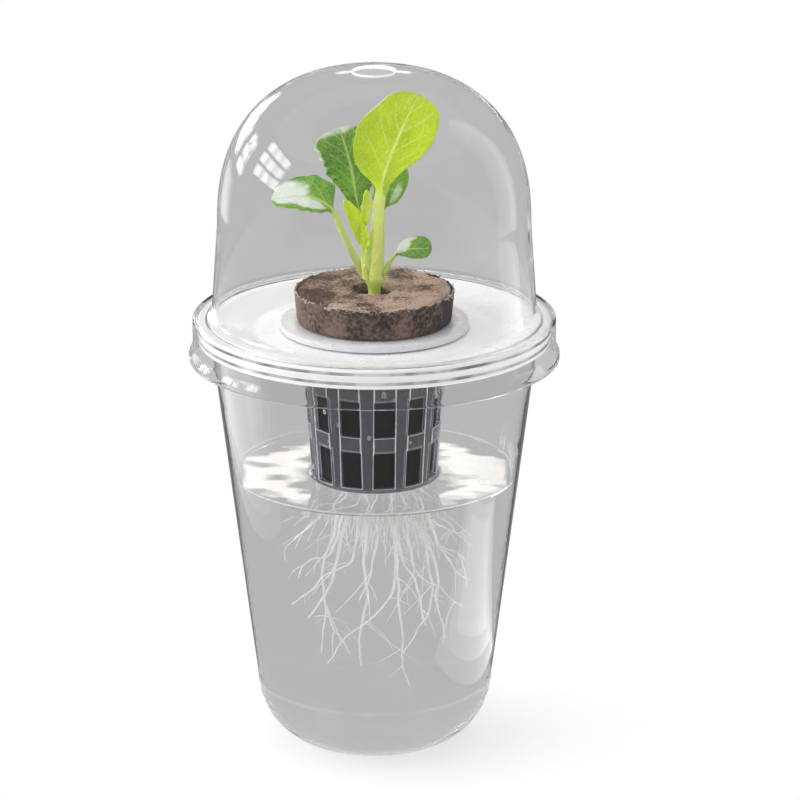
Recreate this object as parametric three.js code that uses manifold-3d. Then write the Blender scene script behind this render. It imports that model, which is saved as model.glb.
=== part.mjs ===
// A nursery pot that raises one seedling over water: a clear round-heeled cup, a white planting tray
// that caps the cup, a net pot with a wrapped growing plug, and a clear dome with a vent hole.
// Millimetres, +Z up. The origin is the centre of the cup's foot, on the surface that it stands on.

import * as THREE from "three";
import { mergeVertices } from "three/addons/utils/BufferGeometryUtils.js";
import Module from "manifold-3d";

const wasm = await Module();
wasm.setup();

// Fits between pieces
const SEAT_GAP = 0.3; // a piece and what it rests on
const SLIP_GAP = 0.4; // round a piece that lifts out of another

// Cup
const CUP_HEIGHT = 120.5;
const CUP_TOP_RADIUS = 45.1; // outside of the wall, just under the rolled rim
const CUP_WALL = 1.0;
const CUP_FOOT_RADIUS = 13.8;
const CUP_HEEL_RADIUS = 18.7; // the round between foot and wall
const CUP_RIM_OVERHANG = 1.8; // the rolled rim stands out from the wall by this
const CUP_RIM_HEIGHT = 3.2;
const CUP_RIM_ROUND = 1.3;
const CUP_PUNT_RADIUS = 5; // the flat top of the push-up in the foot
const CUP_PUNT_RUN = 3;
const CUP_PUNT_DEPTH = 1.2;

// Planting tray
const TRAY_WALL = 1.2;
const TRAY_LIP_DEPTH = 4.3; // the lip hangs over the cup's rim by this
const TRAY_LIP_WALL = 0.9;
const TRAY_BAND_DEPTH = 1.3; // the band round the top of the lip reaches this far below the tray's underside
const TRAY_BAND_STEP = 0.4;
const TRAY_BAND_ROUND = 0.8;
const TRAY_MOUTH_GAP = 1.0; // between the dish and the inside of the cup's rim
const TRAY_DISH_DEPTH = 2.4;
const TRAY_DISH_RUN = 10; // how far in the dish's sloping wall reaches

// Net pot
const POT_TOP_RADIUS = 20.6;
const POT_FOOT_RADIUS = 17.4;
const POT_WALL = 1.2;
const POT_FLOOR = 1.4;
const POT_FLANGE_WIDTH = 5.4;
const POT_FLANGE_HEIGHT = 1.8;
const POT_BAND_HEIGHT = 16.3; // the plain band under the flange
const POT_WINDOW_HEIGHT = 10.4;
const POT_BAR_WIDTH = 2.4; // between windows, at the inside of the foot
const POT_HOOP_HEIGHT = 4.6; // between the two rows of windows
const POT_FOOT_HEIGHT = 2.6;
const POT_WINDOWS = 12; // in each of the two rows
const POT_WINDOW_TURN = THREE.MathUtils.degToRad(8.7); // first window's turn from the front, towards +X
const POT_SLOTS = 6; // sector-shaped openings in the floor
const POT_HUB_RADIUS = 4.5;
const POT_SLOT_MARGIN = 4.4; // from the slots out to the foot's edge
const POT_SLOT_ANGLE = THREE.MathUtils.degToRad(44);

// Growing plug and its sleeve
const SLEEVE_WALL = 0.6;
const PLUG_CROWN_HEIGHT = 9.3; // the swollen crown above the net pot's flange
const PLUG_CROWN_OVERHANG = 2.2; // how far the crown stands out over the net pot's mouth
const PLUG_CROWN_FLARE = 0.8;
const PLUG_CROWN_ROUND = 1.6;
const PLUG_HOLE_RADIUS = 6.2;
const PLUG_HOLE_DEPTH = 6;
const PLUG_HEM_DROP = 0.6; // the sleeve's top edge ends this far under the crown's top

// Water and roots
const POT_DIP = 2.1; // the net pot's foot stands this deep in the water
const ROOT_COUNT = 20;
const ROOT_RADIUS = 0.95;
const ROOT_TIP_RADIUS = 0.35;
const ROOT_FLOOR_CLEARANCE = 13; // the longest root ends this far above the cup's inside floor
const ROOT_HOLE_GAP = 0.8; // so that the roots draw up through the tray's hole
const ROOT_MAT_RADIUS = 13.5;
const ROOT_MAT_HEIGHT = 2.6;
const ROOT_NECK_GAP = 0.9; // round the bundles that pass through the net pot's floor
const ROOT_WAVE = 0.35; // radians that a root wanders to each side

// Seedling
const STEM_FOOT_RADIUS = 1.7;
const STEM_RADIUS = 2.7;
const STEM_HEIGHT = 4.2; // above the plug's top
const PLANT_HEIGHT = 50; // the leaves' lines are shares of this
const LARGE_LEAF_WIDTH = 19.6; // across the blade
const LARGE_LEAF_STALK = 3.2; // across the stalk's foot
const REAR_LEAF_WIDTH = 17.2;
const REAR_LEAF_STALK = 2;
const LEFT_LEAF_WIDTH = 12.4;
const LEFT_LEAF_STALK = 1.8;
const HIDDEN_LEAF_WIDTH = 11.2;
const HIDDEN_LEAF_STALK = 1.8;
const YOUNG_LEAF_WIDTH = 4.4;
const YOUNG_LEAF_STALK = 1.4;
const SEED_LEAF_WIDTH = 8.2;
const SEED_LEAF_STALK = 1.4;
const LEAF_THICKNESS = 0.8;
const LEAF_TIP_WIDTH = 0.8;

// Dome
const DOME_WALL = 1.0;
const DOME_SKIRT_DEPTH = 10.8; // below the inside of the shoulder
const DOME_FLARE = 1.1; // the foot of the skirt flares out by this
const DOME_FLARE_LIP = 1.4;
const DOME_FLARE_HEIGHT = 3.4;
const DOME_SHOULDER_WIDTH = 5.2; // from the skirt's outside to the wall's outside
const DOME_SHOULDER_ROUND = 0.9;
const DOME_SHOULDER_FILLET = 2.4;
const DOME_SPRING_HEIGHT = 27; // where the straight wall ends, above the inside of the shoulder
const DOME_DRAFT = 1.8; // the wall leans in by this up to there
const DOME_HEADROOM = 8.4; // from the tallest leaf's tip to the dome's outside top
const DOME_SQUARENESS = 2.4; // power of the dome's rounding: 2 is a true ellipse
const DOME_VENT_RADIUS = 6;

// Fineness
const ROUND_STEPS = 36;
const STEM_STEPS = 12;
const ARC_STEPS = 1; // half the chords of each small round in a profile
const HEEL_STEPS = 3;
const DOME_ARC_STEPS = 7;
const LEAF_SIDES = 8;
const PETIOLE_STEPS = 4;
const BLADE_STEPS = 9;
const ROOT_SIDES = 5;
const ROOT_STEPS = 6;
const MERGE_DISTANCE = 1e-4;

// Heights and radii that follow from the sizes above
const cupRimRadius = CUP_TOP_RADIUS + CUP_RIM_OVERHANG;
const cupRimRound = Math.min(CUP_RIM_ROUND, CUP_RIM_HEIGHT / 2, CUP_RIM_OVERHANG);
const trayZ = CUP_HEIGHT + SEAT_GAP; // underside of the tray's rim
const trayLipInside = cupRimRadius + SLIP_GAP;
const trayOutside = trayLipInside + TRAY_LIP_WALL + TRAY_BAND_STEP;
const trayHoleRadius = POT_TOP_RADIUS + SLIP_GAP;
const trayFloor = TRAY_WALL - TRAY_DISH_DEPTH;
const potDepth = POT_BAND_HEIGHT + 2 * POT_WINDOW_HEIGHT + POT_HOOP_HEIGHT + POT_FOOT_HEIGHT;
const basketZ = trayZ + trayFloor + SEAT_GAP; // underside of the net pot's flange
const potSlotOutside = POT_FOOT_RADIUS - POT_SLOT_MARGIN;
const potSlotMiddle = (POT_HUB_RADIUS + potSlotOutside) / 2;
const waterLevel = basketZ - potDepth + POT_DIP;
const plugMouth = POT_TOP_RADIUS - POT_WALL - SLIP_GAP; // outside of the sleeve in the net pot's mouth
const plugTop = POT_FLANGE_HEIGHT + PLUG_CROWN_HEIGHT; // in the basket's frame
const domeZ = TRAY_WALL + SEAT_GAP; // underside of the dome's shoulder, in the tray's frame

const QUARTER = Math.PI / 2;

// Finishes, in the colours of the photograph
const CLEAR_PLASTIC = { color: 0xd9dadb, roughness: 0.08, opacity: 0.35, transparent: true };
const WHITE_PLASTIC = { color: 0xf3f3f5, roughness: 0.35 };
const SMOKY_PLASTIC = { color: 0x8a8a94, roughness: 0.12, opacity: 0.6, transparent: true };
const WATER = { color: 0xdfe5e6, roughness: 0.02, opacity: 0.3, transparent: true };
const PEAT = { color: 0x77614f, roughness: 0.95 };
const NET_FABRIC = { color: 0x5d4a3e, roughness: 0.9 };
const STEM_GREEN = { color: 0xabb764, roughness: 0.5 };
const BRIGHT_LEAF = { color: 0xabc83b, roughness: 0.45 };
const DARK_LEAF = { color: 0x668e41, roughness: 0.4 };
const ROOT_WHITE = { color: 0xe6e8e4, roughness: 0.6 };

// A closed geometry as a solid that can be joined and cut.
function solidOf(geometry) {
  const bare = new THREE.BufferGeometry();
  bare.setAttribute("position", geometry.getAttribute("position"));
  bare.setIndex(geometry.getIndex());
  const merged = mergeVertices(bare, MERGE_DISTANCE);
  const corners = merged.getIndex().array;
  const kept = [];
  for (let i = 0; i < corners.length; i += 3) {
    const [a, b, c] = corners.slice(i, i + 3);
    if (a !== b && b !== c && c !== a) kept.push(a, b, c);
  }
  const vertProperties = merged.getAttribute("position").array;
  return new wasm.Manifold(new wasm.Mesh({ numProp: 3, vertProperties, triVerts: new Uint32Array(kept) }));
}

function geometryOf(solid) {
  const { vertProperties, triVerts } = solid.getMesh();
  const geometry = new THREE.BufferGeometry();
  geometry.setAttribute("position", new THREE.BufferAttribute(vertProperties, 3));
  geometry.setIndex(new THREE.BufferAttribute(triVerts, 1));
  geometry.computeVertexNormals();
  return geometry;
}

function piece(name, solid, finish) {
  const material = new THREE.MeshStandardMaterial({ ...finish, metalness: 0 });
  const mesh = new THREE.Mesh(geometryOf(solid), material);
  mesh.name = name;
  return mesh;
}

// A solid turned about Z from a line of radii and heights that runs up the outside.
function turned(line, steps = ROUND_STEPS) {
  const geometry = new THREE.LatheGeometry(line, steps);
  geometry.rotateX(QUARTER);
  return solidOf(geometry);
}

// The points of a profile, with its rounds cut into chords.
function pointsOf(path) {
  return path.getPoints(ARC_STEPS);
}

function joined(solids) {
  return solids.reduce((sum, solid) => sum.add(solid));
}

// A closed skin over rings of points that run counter-clockwise about the way along, with both ends capped.
function lofted(rings) {
  const count = rings[0].length;
  const points = rings.flat();
  const last = points.length - count;
  const corners = [];
  for (let row = 0; row < last; row += count) {
    for (let k = 0; k < count; k++) {
      const a = row + k;
      const b = row + ((k + 1) % count);
      corners.push(a, b, b + count, a, b + count, a + count);
    }
  }
  for (let k = 1; k + 1 < count; k++) {
    corners.push(0, k + 1, k);
    corners.push(last, last + k, last + k + 1);
  }
  return solidOf(new THREE.BufferGeometry().setFromPoints(points).setIndex(corners));
}

// The cup's wall leans out from the heel's arc to the underside of the rim.
const cupHeel = new THREE.Vector2(CUP_FOOT_RADIUS, CUP_HEEL_RADIUS);
const cupWallTop = new THREE.Vector2(CUP_TOP_RADIUS, CUP_HEIGHT - CUP_RIM_HEIGHT);
const heelToTop = cupWallTop.clone().sub(cupHeel);
const cupLean = Math.acos(CUP_HEEL_RADIUS / heelToTop.length()) - heelToTop.angle();

// Radius of the cup's wall at a height, taken in from the outside by inset.
function cupRadius(height, inset) {
  return CUP_TOP_RADIUS - (cupWallTop.y - height) * Math.tan(cupLean) - inset / Math.cos(cupLean);
}

// The cup's surface from the axis out and up to a height, taken in from the outside by inset.
function cupLine(inset, top) {
  const line = new THREE.Path();
  line.moveTo(0, CUP_PUNT_DEPTH + inset);
  line.lineTo(CUP_PUNT_RADIUS, CUP_PUNT_DEPTH + inset);
  line.lineTo(CUP_PUNT_RADIUS + CUP_PUNT_RUN, inset);
  line.lineTo(CUP_FOOT_RADIUS, inset);
  line.absarc(cupHeel.x, cupHeel.y, CUP_HEEL_RADIUS - inset, -QUARTER, -cupLean);
  line.lineTo(cupRadius(top, inset), top);
  return line.getPoints(HEEL_STEPS);
}

function cupSolid() {
  const rim = new THREE.Path();
  const rimCentre = cupRimRadius - cupRimRound;
  rim.moveTo(rimCentre, cupWallTop.y);
  rim.absarc(rimCentre, cupWallTop.y + cupRimRound, cupRimRound, -QUARTER, 0);
  rim.absarc(rimCentre, CUP_HEIGHT - cupRimRound, cupRimRound, 0, QUARTER);
  return turned([...cupLine(0, cupWallTop.y), ...pointsOf(rim), ...cupLine(CUP_WALL, CUP_HEIGHT).reverse()]);
}

// The tray, with the underside of its rim at height 0.
function traySolid() {
  const dishRadius = cupRadius(CUP_HEIGHT, CUP_WALL) - TRAY_MOUTH_GAP;
  const floorRadius = dishRadius - TRAY_DISH_RUN;
  const lipOutside = trayLipInside + TRAY_LIP_WALL;
  const line = new THREE.Path();
  line.moveTo(trayLipInside, -TRAY_LIP_DEPTH);
  line.lineTo(lipOutside, -TRAY_LIP_DEPTH);
  line.lineTo(lipOutside, -TRAY_BAND_DEPTH);
  line.lineTo(trayOutside, -TRAY_BAND_DEPTH);
  line.absarc(trayOutside - TRAY_BAND_ROUND, TRAY_WALL - TRAY_BAND_ROUND, TRAY_BAND_ROUND, 0, QUARTER);
  line.lineTo(dishRadius, TRAY_WALL);
  line.lineTo(floorRadius, trayFloor);
  line.lineTo(trayHoleRadius, trayFloor);
  line.lineTo(trayHoleRadius, trayFloor - TRAY_WALL);
  line.lineTo(floorRadius, trayFloor - TRAY_WALL);
  line.lineTo(dishRadius, 0);
  line.lineTo(trayLipInside, 0);
  line.closePath();
  return turned(pointsOf(line));
}

// Radius of the net pot's outside at a depth below its flange.
function potRadius(depth) {
  return THREE.MathUtils.lerp(POT_TOP_RADIUS, POT_FOOT_RADIUS, depth / potDepth);
}

function turnedBlock(geometry, radius, height, angle) {
  geometry.translate(radius, 0, height);
  geometry.rotateZ(angle);
  return solidOf(geometry);
}

// Cutters for both rows of windows in the net pot's wall.
function potWindows() {
  const cutters = [];
  const radial = 2 * (POT_TOP_RADIUS - POT_FOOT_RADIUS + POT_WALL);
  const pitch = 2 * (POT_FOOT_RADIUS - POT_WALL) * Math.sin(Math.PI / POT_WINDOWS);
  for (const above of [POT_BAND_HEIGHT, POT_BAND_HEIGHT + POT_WINDOW_HEIGHT + POT_HOOP_HEIGHT]) {
    const middle = above + POT_WINDOW_HEIGHT / 2;
    for (let k = 0; k < POT_WINDOWS; k++) {
      const block = new THREE.BoxGeometry(radial, pitch - POT_BAR_WIDTH, POT_WINDOW_HEIGHT);
      const angle = POT_WINDOW_TURN - QUARTER + (k * 2 * Math.PI) / POT_WINDOWS;
      cutters.push(turnedBlock(block, potRadius(middle) - POT_WALL / 2, -middle, angle));
    }
  }
  return joined(cutters);
}

// Cutters for the sector-shaped openings in the net pot's floor.
function potSlots() {
  const cutters = [];
  for (let k = 0; k < POT_SLOTS; k++) {
    const middle = (k * 2 * Math.PI) / POT_SLOTS;
    const sector = new THREE.Shape();
    sector.absarc(0, 0, potSlotOutside, middle - POT_SLOT_ANGLE / 2, middle + POT_SLOT_ANGLE / 2);
    sector.absarc(0, 0, POT_HUB_RADIUS, middle + POT_SLOT_ANGLE / 2, middle - POT_SLOT_ANGLE / 2, true);
    const block = new THREE.ExtrudeGeometry(sector, {
      depth: 2 * POT_FLOOR,
      bevelEnabled: false,
      curveSegments: HEEL_STEPS,
    });
    block.translate(0, 0, -potDepth - POT_FLOOR / 2);
    cutters.push(solidOf(block));
  }
  return joined(cutters);
}

// The net pot, with the underside of its flange at height 0.
function potSolid() {
  const line = [
    [0, -potDepth],
    [POT_FOOT_RADIUS, -potDepth],
    [POT_TOP_RADIUS, 0],
    [POT_TOP_RADIUS + POT_FLANGE_WIDTH, 0],
    [POT_TOP_RADIUS + POT_FLANGE_WIDTH, POT_FLANGE_HEIGHT],
    [POT_TOP_RADIUS - POT_WALL, POT_FLANGE_HEIGHT],
    [POT_TOP_RADIUS - POT_WALL, 0],
    [potRadius(potDepth - POT_FLOOR) - POT_WALL, POT_FLOOR - potDepth],
    [0, POT_FLOOR - potDepth],
  ];
  return turned(line.map(([r, z]) => new THREE.Vector2(r, z))).subtract(potWindows()).subtract(potSlots());
}

// The side of the plug and its sleeve, from the net pot's floor up to the crown, taken in by inset from
// the outside of the sleeve.
function plugSide(inset) {
  const seat = POT_FLANGE_HEIGHT + SEAT_GAP;
  const mouth = plugMouth - inset;
  const crown = mouth + PLUG_CROWN_OVERHANG;
  const foot = POT_FLOOR - potDepth + SEAT_GAP;
  return [
    new THREE.Vector2(potRadius(potDepth - POT_FLOOR) - POT_WALL - SLIP_GAP - inset, foot),
    new THREE.Vector2(mouth, 0),
    new THREE.Vector2(mouth, seat + inset),
    new THREE.Vector2(crown, seat + inset),
    new THREE.Vector2(crown + PLUG_CROWN_FLARE, plugTop - PLUG_CROWN_ROUND),
  ];
}

function sleeveSolid() {
  const outside = plugSide(0);
  const inside = plugSide(SLEEVE_WALL);
  const hem = plugTop - PLUG_HEM_DROP;
  const top = outside.at(-1).x;
  outside.push(new THREE.Vector2(top, hem));
  inside.push(new THREE.Vector2(top - SLEEVE_WALL, hem));
  return turned([...outside, ...inside.reverse(), outside[0]]);
}

function plugSolid() {
  const side = plugSide(SLEEVE_WALL + SEAT_GAP);
  const edge = side.at(-1);
  const crown = new THREE.Path();
  crown.moveTo(edge.x, edge.y);
  crown.absarc(edge.x - PLUG_CROWN_ROUND, edge.y, PLUG_CROWN_ROUND, 0, QUARTER);
  crown.lineTo(PLUG_HOLE_RADIUS, plugTop);
  crown.lineTo(PLUG_HOLE_RADIUS, plugTop - PLUG_HOLE_DEPTH);
  crown.lineTo(0, plugTop - PLUG_HOLE_DEPTH);
  return turned([new THREE.Vector2(0, side[0].y), ...side.slice(0, -1), ...pointsOf(crown)]);
}

// Evenly scattered shares from 0 to 1, one series for each stride.
function scatter(index, stride) {
  return ((index + 1) * stride) % 1;
}

// The line of one root: it spreads under the mat and then hangs.
function rootLine(index) {
  const reach = basketZ - potDepth - CUP_WALL - CUP_PUNT_DEPTH - ROOT_FLOOR_CLEARANCE;
  const spread = trayHoleRadius - ROOT_HOLE_GAP - ROOT_RADIUS;
  const depth = reach * THREE.MathUtils.lerp(0.45, 1, scatter(index, 0.5698403));
  const outer = spread * THREE.MathUtils.lerp(0.4, 1, scatter(index, 0.7548777));
  const inner = Math.min(0.6 * outer, ROOT_MAT_RADIUS - 2 * ROOT_RADIUS);
  const start = 2 * Math.PI * scatter(index, 0.6180339);
  const points = [];
  for (let step = 0; step <= ROOT_STEPS; step++) {
    const along = step / ROOT_STEPS;
    const radius = THREE.MathUtils.lerp(inner, outer, Math.sqrt(along));
    const angle = start + ROOT_WAVE * along * Math.sin(2 * Math.PI * (along + scatter(index, 0.3247)));
    const height = -potDepth - SEAT_GAP - ROOT_MAT_HEIGHT / 2 - depth * along ** 1.2;
    points.push(new THREE.Vector3(radius * Math.cos(angle), radius * Math.sin(angle), height));
  }
  return points;
}

// A round tapered strand along a line of points, thicker all round by extra.
function strand(points, extra) {
  const curve = new THREE.CatmullRomCurve3(points);
  const rings = points.map((centre, step) => {
    const along = step / (points.length - 1);
    const radius = THREE.MathUtils.lerp(ROOT_RADIUS, ROOT_TIP_RADIUS, along) + extra;
    const forward = curve.getTangent(along);
    const side = new THREE.Vector3(1, 0, 0).cross(forward).normalize();
    return ringAt(centre, forward, side, radius, radius, 0, ROOT_SIDES);
  });
  const [tip, before] = [points.at(-1), points.at(-2)];
  const shift = tip.clone().sub(before).setLength(extra);
  rings.at(-1).forEach((point) => point.add(shift));
  return lofted(rings);
}

// A flattened ring of points about a centre: half width along side, half height across it, with its edges
// bent by bend towards the face.
function ringAt(centre, forward, side, width, height, bend, sides) {
  const face = forward.clone().cross(side).normalize();
  return Array.from({ length: sides }, (_, k) => {
    const angle = (2 * Math.PI * k) / sides;
    const across = Math.cos(angle);
    return centre
      .clone()
      .addScaledVector(side, width * across)
      .addScaledVector(face, height * Math.sin(angle) + bend * across * across);
  });
}

// All the roots as one body, grown by extra: bundles through the net pot's floor, a mat under it and strands.
function rootSolid(extra) {
  const under = -potDepth - SEAT_GAP;
  const floor = POT_FLOOR - potDepth;
  const mat = new THREE.Path();
  mat.moveTo(0, under - ROOT_MAT_HEIGHT - extra);
  mat.lineTo(ROOT_MAT_RADIUS - ROOT_MAT_HEIGHT, under - ROOT_MAT_HEIGHT - extra);
  mat.lineTo(ROOT_MAT_RADIUS + extra, under);
  mat.lineTo(0, under);
  const parts = [turned(pointsOf(mat))];
  const neckRadius = potSlotMiddle * Math.sin(POT_SLOT_ANGLE / 2) - ROOT_NECK_GAP;
  for (let k = 0; k < POT_SLOTS; k++) {
    const neck = new THREE.CylinderGeometry(neckRadius, neckRadius, floor - under + SEAT_GAP, LEAF_SIDES);
    neck.rotateX(QUARTER);
    const middle = (floor + under - SEAT_GAP) / 2;
    parts.push(turnedBlock(neck, potSlotMiddle, middle, (k * 2 * Math.PI) / POT_SLOTS));
  }
  for (let index = 0; index < ROOT_COUNT; index++) parts.push(strand(rootLine(index), extra));
  return joined(parts);
}

// The water fills the cup up to its level, round the net pot's foot and the roots.
function waterSolid() {
  const inset = CUP_WALL + SEAT_GAP;
  const body = turned([...cupLine(inset, waterLevel), new THREE.Vector2(0, waterLevel)]);
  const potForm = turned([
    new THREE.Vector2(0, -potDepth - SEAT_GAP),
    new THREE.Vector2(POT_FOOT_RADIUS + SEAT_GAP, -potDepth - SEAT_GAP),
    new THREE.Vector2(POT_TOP_RADIUS + SEAT_GAP, 0),
    new THREE.Vector2(0, 0),
  ]);
  return body.subtract(potForm.add(rootSolid(SEAT_GAP)).translate([0, 0, basketZ]));
}

// The short stem, grown by extra, from the planting hole's floor up to where the leaves part.
function stemSolid(extra) {
  const line = new THREE.Path();
  line.moveTo(0, SEAT_GAP - PLUG_HOLE_DEPTH - extra);
  line.lineTo(STEM_FOOT_RADIUS + extra, SEAT_GAP - PLUG_HOLE_DEPTH - extra);
  line.lineTo(STEM_FOOT_RADIUS + extra, 0);
  line.lineTo(STEM_RADIUS + extra, STEM_HEIGHT - STEM_RADIUS);
  line.absarc(0, STEM_HEIGHT - STEM_RADIUS, STEM_RADIUS + extra, 0, QUARTER);
  return turned(pointsOf(line), STEM_STEPS);
}

// Each leaf has the line of its stalk and midrib, from the centre of the stem's top and in shares of the
// plant's height, the way its blade faces, the share of the line that is stalk, the widths of blade and
// stalk, and how far the blade's edges curl towards its face as a share of its half width.
const LEAVES = [
  {
    name: "leaf_large",
    finish: BRIGHT_LEAF,
    line: [
      [0.005, -0.03, -0.024], [0.006, -0.032, 0.036], [0.018, -0.044, 0.24], [0.048, -0.036, 0.44],
      [0.096, 0, 0.604], [0.168, 0.048, 0.796], [0.252, 0.12, 0.976],
    ],
    facing: [-0.1, -1, 0.3],
    stalk: 0.45,
    width: LARGE_LEAF_WIDTH,
    stalkWidth: LARGE_LEAF_STALK,
    curl: 0.12,
  },
  {
    name: "leaf_rear",
    finish: DARK_LEAF,
    line: [
      [-0.018, 0.034, -0.024], [-0.022, 0.046, 0.036], [-0.048, 0.076, 0.196], [-0.096, 0.12, 0.376],
      [-0.132, 0.16, 0.576], [-0.184, 0.21, 0.756],
    ],
    facing: [0.2, -1, 0.2],
    stalk: 0.42,
    width: REAR_LEAF_WIDTH,
    stalkWidth: REAR_LEAF_STALK,
    curl: -0.1,
  },
  {
    name: "leaf_left",
    finish: DARK_LEAF,
    line: [
      [-0.048, 0.008, -0.024], [-0.072, 0.004, 0.016], [-0.132, -0.032, 0.148], [-0.184, -0.064, 0.276],
      [-0.232, -0.08, 0.376], [-0.36, -0.096, 0.456], [-0.56, -0.1, 0.444],
    ],
    facing: [-0.1, -0.6, 0.8],
    stalk: 0.56,
    width: LEFT_LEAF_WIDTH,
    stalkWidth: LEFT_LEAF_STALK,
    curl: 0.1,
  },
  {
    name: "leaf_hidden",
    finish: DARK_LEAF,
    line: [
      [0.026, 0.032, -0.024], [0.036, 0.044, 0.028], [0.044, 0.128, 0.2], [0.056, 0.22, 0.35],
      [0.128, 0.284, 0.56],
    ],
    facing: [0, -1, 0.1],
    stalk: 0.5,
    width: HIDDEN_LEAF_WIDTH,
    stalkWidth: HIDDEN_LEAF_STALK,
    curl: 0.1,
  },
  {
    name: "leaf_young",
    finish: BRIGHT_LEAF,
    line: [
      [-0.044, -0.032, -0.024], [-0.054, -0.036, 0.024], [-0.084, -0.044, 0.176], [-0.12, -0.064, 0.296],
      [-0.168, -0.092, 0.428],
    ],
    facing: [0.5, -1, 0],
    stalk: 0.42,
    width: YOUNG_LEAF_WIDTH,
    stalkWidth: YOUNG_LEAF_STALK,
    curl: 0.3,
  },
  {
    name: "seed_leaf",
    finish: DARK_LEAF,
    line: [
      [0.04, 0.002, -0.028], [0.058, -0.006, 0.008], [0.104, -0.012, 0.096], [0.172, -0.024, 0.136],
      [0.316, -0.044, 0.148],
    ],
    facing: [0, -0.6, 0.8],
    stalk: 0.5,
    width: SEED_LEAF_WIDTH,
    stalkWidth: SEED_LEAF_STALK,
    curl: 0.08,
  },
];

// Half width of a leaf at a share of its line: a tapering stalk, then a rounded blade.
function leafWidth(leaf, along) {
  const stalk = (leaf.stalkWidth / 2) * (1 - 0.4 * along);
  if (along <= leaf.stalk) return stalk;
  const blade = (along - leaf.stalk) / (1 - leaf.stalk);
  const rounded = Math.sqrt(Math.sin(Math.PI * blade ** 0.9));
  return Math.max((leaf.width / 2) * rounded, stalk * (1 - blade), LEAF_TIP_WIDTH / 2);
}

// One leaf with its stalk, cut clear of the stem.
function leafSolid(leaf) {
  const points = leaf.line.map((point) => new THREE.Vector3(...point).multiplyScalar(PLANT_HEIGHT));
  const curve = new THREE.CatmullRomCurve3(points);
  const facing = new THREE.Vector3(...leaf.facing).normalize();
  const rings = [];
  for (let step = 0; step <= PETIOLE_STEPS + BLADE_STEPS; step++) {
    const blade = (1 - Math.cos((Math.PI * Math.max(0, step - PETIOLE_STEPS)) / BLADE_STEPS)) / 2;
    const stalk = Math.min(1, step / PETIOLE_STEPS);
    const along = leaf.stalk * stalk + (1 - leaf.stalk) * blade;
    const forward = curve.getTangentAt(along);
    const side = facing.clone().cross(forward).normalize();
    const width = leafWidth(leaf, along);
    const height = THREE.MathUtils.lerp(leaf.stalkWidth / 2, LEAF_THICKNESS / 2, Math.min(1, 2 * blade));
    const bend = blade > 0 ? leaf.curl * width : 0;
    rings.push(ringAt(curve.getPointAt(along), forward, side, width, height, bend, LEAF_SIDES));
  }
  return lofted(rings).translate([0, 0, STEM_HEIGHT]).subtract(stemSolid(SEAT_GAP));
}

const tallestLeaf = PLANT_HEIGHT * Math.max(...LEAVES.flatMap((leaf) => leaf.line.map((point) => point[2])));
const domeHeight = basketZ + plugTop + STEM_HEIGHT + tallestLeaf + DOME_HEADROOM - trayZ - domeZ;

// The dome's rounded top from the spring line in to the vent, taken in from the outside by inset.
function domeCap(inset) {
  const spring = trayOutside + SLIP_GAP + DOME_WALL - DOME_SHOULDER_WIDTH - DOME_DRAFT - inset;
  const rise = domeHeight - DOME_SPRING_HEIGHT - inset;
  const power = 2 / DOME_SQUARENESS;
  const end = Math.acos((DOME_VENT_RADIUS / spring) ** (1 / power));
  return Array.from({ length: DOME_ARC_STEPS + 1 }, (_, k) => {
    const angle = (end * k) / DOME_ARC_STEPS;
    const radius = spring * Math.cos(angle) ** power;
    return new THREE.Vector2(radius, DOME_SPRING_HEIGHT + rise * Math.sin(angle) ** power);
  });
}

// The dome, with the underside of its shoulder at height 0.
function domeSolid() {
  const skirtInside = trayOutside + SLIP_GAP;
  const skirt = skirtInside + DOME_WALL;
  const wall = skirt - DOME_SHOULDER_WIDTH;
  const fillet = DOME_SHOULDER_FILLET;
  const round = DOME_SHOULDER_ROUND;
  const outside = new THREE.Path();
  outside.moveTo(skirt + DOME_FLARE, -DOME_SKIRT_DEPTH);
  outside.lineTo(skirt + DOME_FLARE, DOME_FLARE_LIP - DOME_SKIRT_DEPTH);
  outside.lineTo(skirt, DOME_FLARE_HEIGHT - DOME_SKIRT_DEPTH);
  outside.absarc(skirt - round, DOME_WALL - round, round, 0, QUARTER);
  outside.absarc(wall + fillet, DOME_WALL + fillet, fillet, -QUARTER, -2 * QUARTER, true);
  const inside = new THREE.Path();
  inside.moveTo(skirtInside + DOME_FLARE, -DOME_SKIRT_DEPTH);
  inside.lineTo(skirtInside + DOME_FLARE, DOME_FLARE_LIP - DOME_SKIRT_DEPTH);
  inside.lineTo(skirtInside, DOME_FLARE_HEIGHT - DOME_SKIRT_DEPTH);
  inside.lineTo(skirtInside, 0);
  inside.absarc(wall + fillet, DOME_WALL + fillet, fillet + DOME_WALL, -QUARTER, -2 * QUARTER, true);
  const outer = [...pointsOf(outside), ...domeCap(0)];
  const inner = [...pointsOf(inside), ...domeCap(DOME_WALL)];
  return turned([...outer, ...inner.reverse(), outer[0]]);
}

// The assembly: each group holds what lifts off together
const planter = new THREE.Group();
planter.add(piece("reservoir_cup", cupSolid(), CLEAR_PLASTIC));
planter.add(piece("nutrient_water", waterSolid(), WATER));

const tray = new THREE.Group();
tray.position.z = trayZ;
tray.add(piece("planting_tray", traySolid(), WHITE_PLASTIC));
planter.add(tray);

const basket = new THREE.Group();
basket.position.z = trayFloor + SEAT_GAP;
basket.add(piece("net_pot", potSolid(), SMOKY_PLASTIC));
basket.add(piece("plug_sleeve", sleeveSolid(), NET_FABRIC));
basket.add(piece("growing_plug", plugSolid(), PEAT));
basket.add(piece("root_cluster", rootSolid(0), ROOT_WHITE));
tray.add(basket);

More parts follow.
